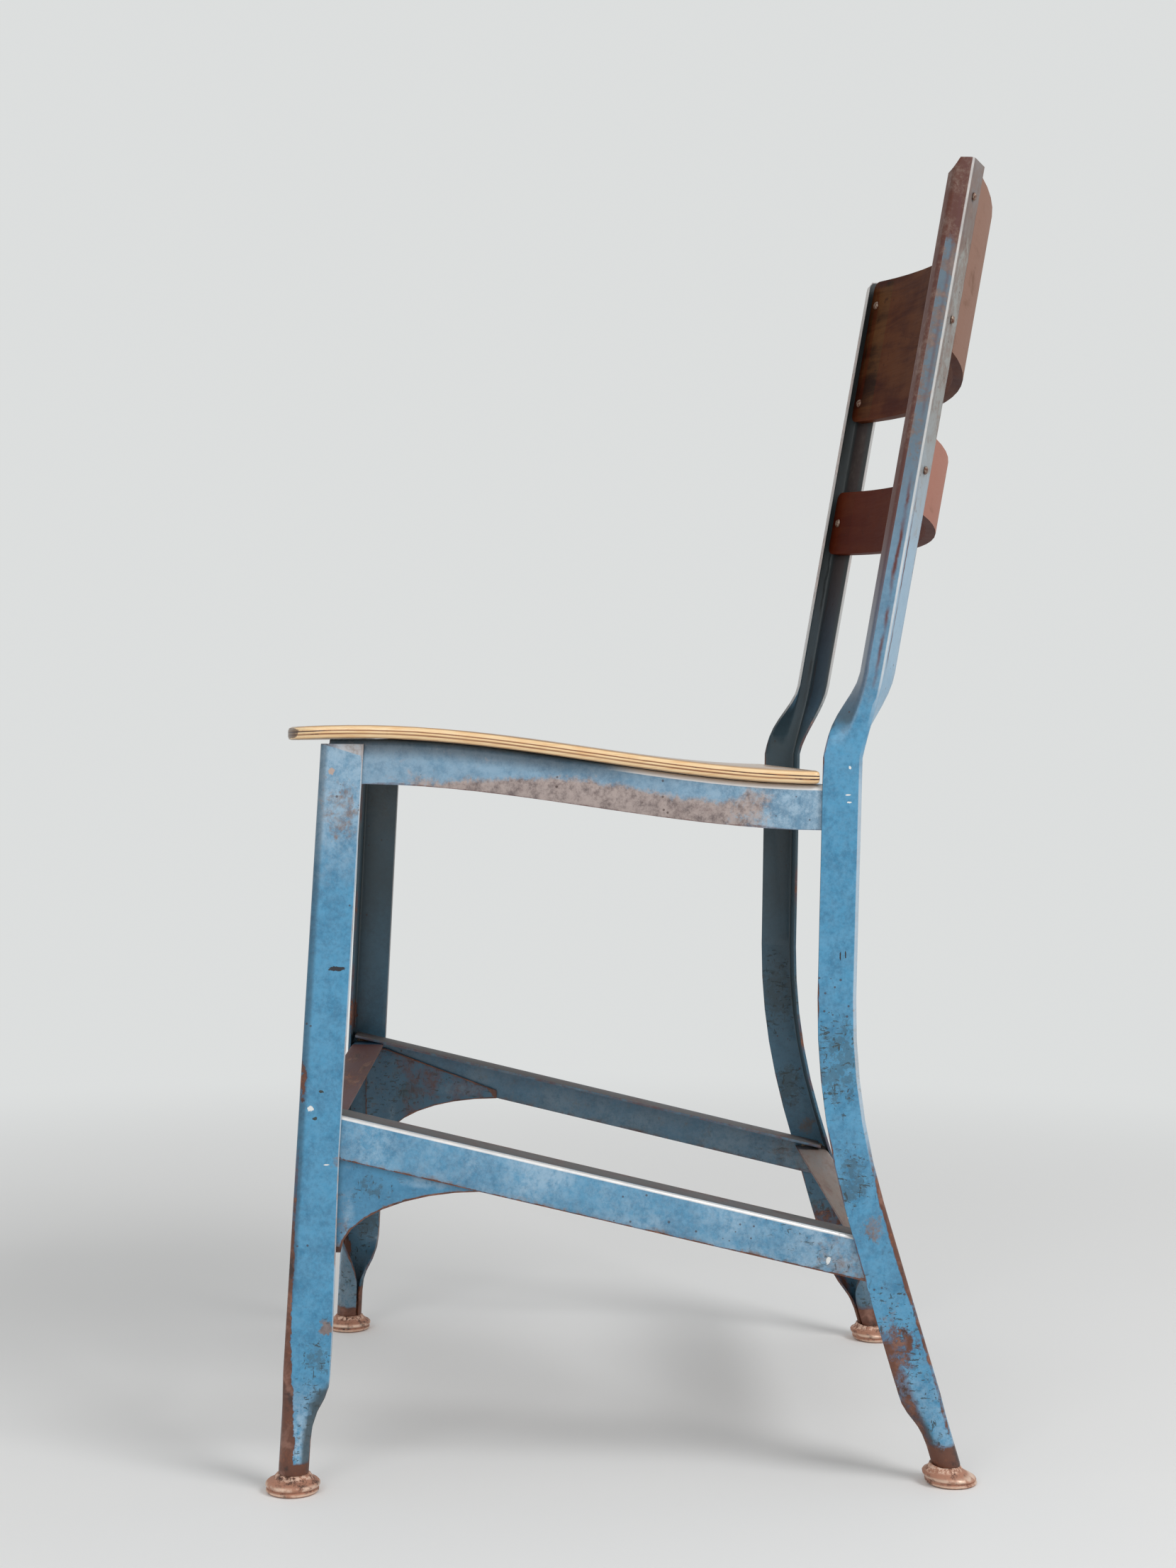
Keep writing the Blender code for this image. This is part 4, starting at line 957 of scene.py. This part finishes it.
def dress_steel(context, nodes, axes, looks, fold=None):
    """Dresses frame parts of folded sheet: cut along some axes, with rounded cut edges.
    A fold is given by the way that its rounded corner faces."""
    detail, paint = context.scene.chair_detail, context.scene.chair_paint
    material = material_of(looks, paint)
    for node in nodes:
        piece = finer_copy(node, "painted_" + node)
        for axis in axes:
            cut_across(piece, axis, detail.cut_spacing)
        cut_edges = edge_samples(piece, SHARP, math.pi)
        corner = edge_samples(piece, BENT, SHARP, Vector(fold).normalized()) if fold else None
        round_edges(piece, detail.sheet_round)
        keep_distances(piece, "edge", cut_edges)
        if corner is not None:
            keep_distances(piece, "fold", corner)
        smooth(piece)
        wear_finish(piece, material, node)


def both(stem):
    """Names of the left and the right node of a pair."""
    return [stem + side for side, _ in SIDES]


class CHAIR_OT_front_legs(bpy.types.Operator):
    """Front legs: folded angles, rolled into tubes at their feet"""
    bl_idname = "chair.front_legs"
    bl_label = "Front legs"

    def execute(self, context):
        dress_steel(context, both("front_leg_"), (2,), front_leg_paint, fold=(1, -1, 0))
        return {"FINISHED"}


class CHAIR_OT_rear_legs(bpy.types.Operator):
    """Rear legs with the back posts"""
    bl_idname = "chair.rear_legs"
    bl_label = "Rear legs and posts"

    def execute(self, context):
        dress_steel(context, both("rear_leg_"), (2,), rear_leg_paint, fold=(1, 1, 0))
        return {"FINISHED"}


class CHAIR_OT_seat_rails(bpy.types.Operator):
    """Four rails under the seat"""
    bl_idname = "chair.seat_rails"
    bl_label = "Seat rails"

    def execute(self, context):
        dress_steel(context, both("seat_rail_"), (1,), rail_paint, fold=(1, 0, 1))
        dress_steel(context, ["seat_rail_front"], (0,), rail_paint, fold=(0, -1, 1))
        dress_steel(context, ["seat_rail_rear"], (0,), rail_paint, fold=(0, 1, 1))
        return {"FINISHED"}


class CHAIR_OT_stretchers(bpy.types.Operator):
    """Side stretchers and cross stretchers"""
    bl_idname = "chair.stretchers"
    bl_label = "Stretchers"

    def execute(self, context):
        dress_steel(context, both("side_stretcher_"), (1,), stretcher_paint, fold=(1, 0, 1))
        dress_steel(context, ["cross_stretcher_front"], (0,), cross_front_paint)
        dress_steel(context, ["cross_stretcher_rear"], (0,), cross_rear_paint)
        return {"FINISHED"}


class CHAIR_OT_gussets(bpy.types.Operator):
    """Arched gussets under the side stretchers"""
    bl_idname = "chair.gussets"
    bl_label = "Gussets"

    def execute(self, context):
        dress_steel(context, both("gusset_"), (1, 2), gusset_paint)
        return {"FINISHED"}


# Glides

GLIDE_SIDES = 64
GLIDE_RINGS = (
    # radius, height
    (0.0140, 0.0000),
    (0.0153, 0.0005),
    (0.0160, 0.0014),
    (0.0159, 0.0024),
    (0.0153, 0.0030),
    (0.0158, 0.0036),
    (0.0165, 0.0046),
    (0.0164, 0.0057),
    (0.0152, 0.0068),
    (0.0130, 0.0078),
    (0.0114, 0.0092),
    (0.0104, 0.0106),
)
NECK_RADII = {"front": 0.0091, "rear": 0.0086}
NECK_HEIGHT = 0.0112
STEM_SHARE = 0.72                # of the neck's radius
DISC_HEIGHT = 0.0110
DISC_TILT = 20.0                 # share by which a metre forward thickens the rear discs
LEVEL_SLACK = 1e-4


def level_centre(node, low, high):
    """Middle of a frame part's points between two heights."""
    points = [v.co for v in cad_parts[node].data.vertices if low <= v.co.z <= high]
    lowest = Vector(min(point[axis] for point in points) for axis in range(3))
    highest = Vector(max(point[axis] for point in points) for axis in range(3))
    return (lowest + highest) / 2.0


def turned_glide(node, name, neck, tilted):
    """A foot disc with two rims and a dished neck, leaning with its leg."""
    low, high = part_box(node)
    base = level_centre(node, low.z, low.z + LEVEL_SLACK)
    top = level_centre(node, high.z - LEVEL_SLACK, high.z)
    lean = (top - base) / (high.z - low.z)
    stem = neck * STEM_SHARE
    rings = [*GLIDE_RINGS, (neck, NECK_HEIGHT), (stem, NECK_HEIGHT), (stem, high.z)]
    bpy.ops.object.select_all(action="DESELECT")
    bpy.ops.mesh.primitive_circle_add(
        vertices=GLIDE_SIDES, radius=rings[0][0], fill_type="NGON", location=base)
    piece = bpy.context.active_object
    rename(piece, name)
    bpy.ops.object.transform_apply(location=True, rotation=True, scale=True)
    start_edit(piece)
    for (radius, height), (next_radius, next_height) in zip(rings, rings[1:]):
        rise = next_height - height
        bpy.ops.mesh.extrude_region_move(
            TRANSFORM_OT_translate={"value": (lean.x * rise, lean.y * rise, rise)})
        centre = base + lean * (next_height - low.z)
        share = next_radius / radius
        bpy.ops.transform.resize(value=(share, share, 1.0), center_override=centre)
    bpy.ops.mesh.select_all(action="SELECT")
    bpy.ops.mesh.normals_make_consistent(inside=False)
    end_edit()
    if tilted:
        tilt_disc(piece, base, lean)
    return piece


def tilt_disc(piece, base, lean):
    """Makes a rear disc thicker towards its front."""
    for vert in piece.data.vertices:
        if vert.co.z < DISC_HEIGHT:
            centre = base + lean * vert.co.z
            vert.co.z *= 1.0 - (vert.co.y - centre.y) * DISC_TILT


class CHAIR_OT_glides(bpy.types.Operator):
    """Turned glides at the four feet"""
    bl_idname = "chair.glides"
    bl_label = "Glides"

    def execute(self, context):
        material = material_of(rusted_glides, context.scene.chair_paint)
        for end, neck in NECK_RADII.items():
            for node in both(end + "_glide_"):
                piece = turned_glide(node, "turned_" + node, neck, end == "rear")
                smooth(piece, degrees=50.0)
                wear_finish(piece, material, node)
        return {"FINISHED"}


# Wood

SEAT_CUTS = 0.006
SEAT_MARGIN = 0.0004             # stays this far from the board's ends when its height is read
REAR_CORNER = 0.0062
CORNER_GROWTH = 0.75


def surface_tree(node):
    """A frame part's surface, to cast rays at."""
    bm = bmesh.new()
    bm.from_mesh(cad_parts[node].data)
    tree = BVHTree.FromBMesh(bm)
    bm.free()
    return tree


def seat_height_at(tree, y, from_above):
    """Height of the frame part's seat surface on its middle line."""
    start = Vector((0.0, y, 1.0 if from_above else 0.0))
    heading = Vector((0.0, 0.0, -1.0 if from_above else 1.0))
    return tree.ray_cast(start, heading)[0].z


def keep_ply_depths(piece):
    """Keeps each point's share of the board's thickness, 0 at its underside and 1 at its top."""
    low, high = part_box("seat_board")
    tree = surface_tree("seat_board")
    depths = []
    for vert in piece.data.vertices:
        y = min(max(vert.co.y, low.y + SEAT_MARGIN), high.y - SEAT_MARGIN)
        top = seat_height_at(tree, y, True)
        under = seat_height_at(tree, y, False)
        depths.append(min(max((vert.co.z - under) / (top - under), 0.0), 1.0))
    attribute = piece.data.attributes.new("ply_depth", "FLOAT", "POINT")
    attribute.data.foreach_set("value", depths)


def square_rear_corners(piece):
    """Draws the seat's rear corners out towards the legs, to a small round."""
    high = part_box("seat_board")[1]
    for vert in piece.data.vertices:
        aside = abs(vert.co.x) - (high.x - REAR_CORNER)
        behind = vert.co.y - (high.y - REAR_CORNER)
        if aside > 0.0 and behind > 0.0:
            reach = math.hypot(aside, behind)
            grown = 1.0 + CORNER_GROWTH * (reach / max(aside, behind) - 1.0)
            vert.co.x = math.copysign(high.x - REAR_CORNER + aside * grown, vert.co.x)
            vert.co.y = high.y - REAR_CORNER + behind * grown


class CHAIR_OT_seat(bpy.types.Operator):
    """Bent plywood seat, with its plies at the edge"""
    bl_idname = "chair.seat"
    bl_label = "Seat"

    def execute(self, context):
        material = material_of(varnished_plywood, context.scene.chair_wood)
        piece = finer_copy("seat_board", "bent_seat_board")
        cut_across(piece, 1, SEAT_CUTS)
        keep_ply_depths(piece)
        square_rear_corners(piece)
        smooth(piece, degrees=40.0)
        wear_finish(piece, material, "seat_board")
        return {"FINISHED"}


class CHAIR_OT_back_slats(bpy.types.Operator):
    """Two curved slats of stained plywood"""
    bl_idname = "chair.back_slats"
    bl_label = "Back slats"

    def execute(self, context):
        detail = context.scene.chair_detail
        material = material_of(stained_slats, context.scene.chair_wood)
        for node in ("back_slat_upper", "back_slat_lower"):
            piece = finer_copy(node, "curved_" + node)
            edges = edge_samples(piece, SHARP, math.pi)
            cut_across(piece, 0, detail.cut_spacing)
            round_edges(piece, detail.slat_round, segments=4)
            keep_distances(piece, "edge", edges)
            smooth(piece)
            wear_finish(piece, material, node)
        return {"FINISHED"}


# Fasteners

FASTENER_STEMS = (
    "upper_slat_rivet_top_", "upper_slat_rivet_bottom_", "lower_slat_rivet_",
    "seat_screw_front_", "seat_screw_rear_",
)
HEAD_ROUND = 0.00035
HEAD_CORNER = math.radians(40.0)
HEAD_LEVELS = 2


def turned_fastener(node, name):
    """A finer copy of a rivet or screw, with a rounded head."""
    piece = finer_copy(node, name)
    round_edges(piece, HEAD_ROUND, angle=HEAD_CORNER)
    layer = piece.modifiers.new("soften", "SUBSURF")
    layer.levels = HEAD_LEVELS
    layer.render_levels = HEAD_LEVELS
    use_only(piece)
    bpy.ops.object.modifier_apply(modifier=layer.name)
    return piece


class CHAIR_OT_rivets(bpy.types.Operator):
    """Rivets that hold the slats, and the screws under the seat"""
    bl_idname = "chair.rivets"
    bl_label = "Rivets and screws"

    def execute(self, context):
        material = material_of(worn_fasteners, context.scene.chair_paint)
        for stem in FASTENER_STEMS:
            for node in both(stem):
                piece = turned_fastener(node, "worn_" + node)
                smooth(piece)
                wear_finish(piece, material, node)
        return {"FINISHED"}


# Welds

# A drop's spacing, sizes and scatter, and the melted bead's grain, as shares of its radius
DROP_SPACING = 0.8
DROP_SIZES = (0.75, 1.2)
DROP_SCATTER = 0.25
BEAD_GRAIN = 0.28
# Ends of a bead, as shares of the stretcher's depth, and its distance from the stretcher's end
BEAD_ENDS = (0.20, 0.62)
BEAD_INSET = 0.0025


def weld_bead(name, start, end, radius, seed):
    """A lumpy bead between two points, from overlapping drops melted together."""
    chance = random.Random(seed)
    count = max(int((end - start).length / (radius * DROP_SPACING)), 2)
    bpy.ops.object.select_all(action="DESELECT")
    bpy.ops.mesh.primitive_ico_sphere_add(subdivisions=2, radius=radius, location=(0, 0, 0))
    piece = bpy.context.active_object
    rename(piece, name)
    bpy.ops.object.mode_set(mode="EDIT")
    bpy.ops.mesh.select_all(action="SELECT")
    bpy.ops.transform.translate(value=start)
    for index in range(1, count + 1):
        size = radius * chance.uniform(*DROP_SIZES)
        place = start.lerp(end, index / count)
        place += Vector([
            chance.uniform(-DROP_SCATTER, DROP_SCATTER) * radius for _ in range(3)
        ])
        bpy.ops.mesh.primitive_ico_sphere_add(subdivisions=2, radius=size, location=place)
    end_edit()
    melt = piece.modifiers.new("melt", "REMESH")
    melt.mode = "VOXEL"
    melt.voxel_size = radius * BEAD_GRAIN
    soften = piece.modifiers.new("soften", "SMOOTH")
    soften.factor = 0.5
    soften.iterations = 3
    use_only(piece)
    bpy.ops.object.modifier_apply(modifier=melt.name)
    bpy.ops.object.modifier_apply(modifier=soften.name)
    return piece


def bead_ends(node, sign):
    """The two ends of a bead on top of a cross stretcher, near its left or right end."""
    low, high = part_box(node)
    tree = surface_tree(node)
    x = sign * (high.x - BEAD_INSET)
    for share in BEAD_ENDS:
        y = low.y + (high.y - low.y) * share
        yield tree.ray_cast(Vector((x, y, 1.0)), Vector((0.0, 0.0, -1.0)))[0]


class CHAIR_OT_welds(bpy.types.Operator):
    """Beads of weld where the cross stretchers meet the sides"""
    bl_idname = "chair.welds"
    bl_label = "Welds"

    def execute(self, context):
        radius = context.scene.chair_detail.weld_radius
        material = material_of(weld_crust, context.scene.chair_paint)
        for number, end in enumerate(("front", "rear")):
            for side, sign in SIDES:
                seed = number * 10 + int(sign)
                start, finish = bead_ends("cross_stretcher_" + end, sign)
                name = "weld_" + end + "_" + side
                piece = weld_bead(name, start, finish, radius, seed)
                smooth(piece, degrees=80.0)
                wear_finish(piece, material)
        return {"FINISHED"}


# Stage

FLOOR_SIZE = 24.0
CHAIR_MIDDLE = (0.0, 0.0, 0.42)
# Place and size of the two lights
KEY_LIGHT = ((1.5, 1.6, 2.3), 1.3)
FILL_LIGHT = ((2.6, -1.2, 1.7), 1.6)
CLIP_NEAR, CLIP_FAR = 0.05, 60.0


def aim(position):
    """The place and turn of a light that shines at the chair's middle."""
    heading = (Vector(CHAIR_MIDDLE) - Vector(position)).to_track_quat("-Z", "Y")
    return Matrix.Translation(position) @ heading.to_matrix().to_4x4()


def area_light(name, position, size, power):
    light = bpy.data.lights.new(name, "AREA")
    light.shape = "DISK"
    light.size = size
    light.energy = power
    item = bpy.data.objects.new(name, light)
    item.matrix_world = aim(position)
    bpy.context.scene.collection.objects.link(item)


def photo_camera():
    """The camera fitted to the photograph."""
    camera = bpy.data.cameras.new("photo_camera")
    camera.sensor_width = SENSOR_WIDTH
    camera.lens = PHOTO_FOCAL * SENSOR_WIDTH / PHOTO_HEIGHT
    camera.shift_y = HORIZON_DROP / PHOTO_HEIGHT
    camera.clip_start, camera.clip_end = CLIP_NEAR, CLIP_FAR
    forward = Vector((
        -math.cos(EYE_YAW) * math.cos(EYE_PITCH),
        math.sin(EYE_YAW) * math.cos(EYE_PITCH),
        -math.sin(EYE_PITCH)))
    level = forward.cross(Vector((0.0, 0.0, 1.0))).normalized()
    up = level.cross(forward)
    right = level * math.cos(EYE_ROLL) - up * math.sin(EYE_ROLL)
    over = level * math.sin(EYE_ROLL) + up * math.cos(EYE_ROLL)
    turn = Matrix((right, over, -forward)).transposed().to_4x4()
    item = bpy.data.objects.new("photo_camera", camera)
    item.matrix_world = Matrix.Translation(EYE) @ turn
    bpy.context.scene.collection.objects.link(item)
    bpy.context.scene.camera = item


def even_room(stage):
    """Even soft light, and the pale background that the camera and reflections see."""
    world = bpy.data.worlds.new("even_room")
    bpy.context.scene.world = world
    sheet = Sheet("even_room", world)
    path = sheet.node("ShaderNodeLightPath")
    seen = Value(sheet, path.outputs["Is Camera Ray"])
    for ray in ("Is Glossy Ray", "Is Transmission Ray"):
        seen = seen.at_least(Value(sheet, path.outputs[ray]))
    light = sheet.node("ShaderNodeBackground", {}, {"Strength": stage.world_light})
    light.inputs["Color"].default_value = (1.0, 1.0, 1.0, 1.0)
    backdrop = sheet.node("ShaderNodeBackground", {}, {"Color": (*stage.background, 1.0)})
    mixed = sheet.node("ShaderNodeMixShader", {}, {
        0: seen, 1: light.outputs[0], 2: backdrop.outputs[0]})
    sheet.node("ShaderNodeOutputWorld", {}, {0: mixed.outputs[0]})


class CHAIR_OT_stage(bpy.types.Operator):
    """Pale floor, soft light and the photograph's camera"""
    bl_idname = "chair.stage"
    bl_label = "Stage"

    def execute(self, context):
        stage = context.scene.chair_stage
        bpy.ops.object.select_all(action="DESELECT")
        bpy.ops.mesh.primitive_plane_add(size=FLOOR_SIZE, location=(0.0, 0.0, 0.0))
        floor = bpy.context.active_object
        floor.name = "stage_floor"
        floor.data.materials.append(stage_floor(stage))
        area_light("key", *KEY_LIGHT, stage.key_power)
        area_light("fill", *FILL_LIGHT, stage.fill_power)
        even_room(stage)
        photo_camera()
        context.scene.view_settings.view_transform = "Standard"
        return {"FINISHED"}


OPERATORS = (
    CHAIR_OT_stage,
    CHAIR_OT_front_legs,
    CHAIR_OT_rear_legs,
    CHAIR_OT_seat_rails,
    CHAIR_OT_stretchers,
    CHAIR_OT_gussets,
    CHAIR_OT_glides,
    CHAIR_OT_seat,
    CHAIR_OT_back_slats,
    CHAIR_OT_rivets,
    CHAIR_OT_welds,
)
SETTINGS = (
    ("chair_paint", ChairPaint),
    ("chair_wood", ChairWood),
    ("chair_detail", ChairDetail),
    ("chair_stage", ChairStage),
)


class CHAIR_PT_panel(bpy.types.Panel):
    """Lists the chair's settings and pieces"""
    bl_idname = "CHAIR_PT_panel"
    bl_label = "Peeling paint chair"
    bl_space_type = "VIEW_3D"
    bl_region_type = "UI"
    bl_category = "Chair"

    def draw(self, context):
        for name, group in SETTINGS:
            box = self.layout.box()
            settings = getattr(context.scene, name)
            for field in group.__annotations__:
                box.prop(settings, field)
        for operator in OPERATORS:
            self.layout.operator(operator.bl_idname)


def register():
    for name, group in SETTINGS:
        bpy.utils.register_class(group)
        setattr(bpy.types.Scene, name, PointerProperty(type=group))
    for item in (*OPERATORS, CHAIR_PT_panel):
        bpy.utils.register_class(item)


def unregister():
    for item in (CHAIR_PT_panel, *reversed(OPERATORS)):
        bpy.utils.unregister_class(item)
    for name, group in reversed(SETTINGS):
        delattr(bpy.types.Scene, name)
        bpy.utils.unregister_class(group)


def main():
    register()
    for operator in OPERATORS:
        group, name = operator.bl_idname.split(".")
        getattr(getattr(bpy.ops, group), name)()


if __name__ == "__main__":
    main()
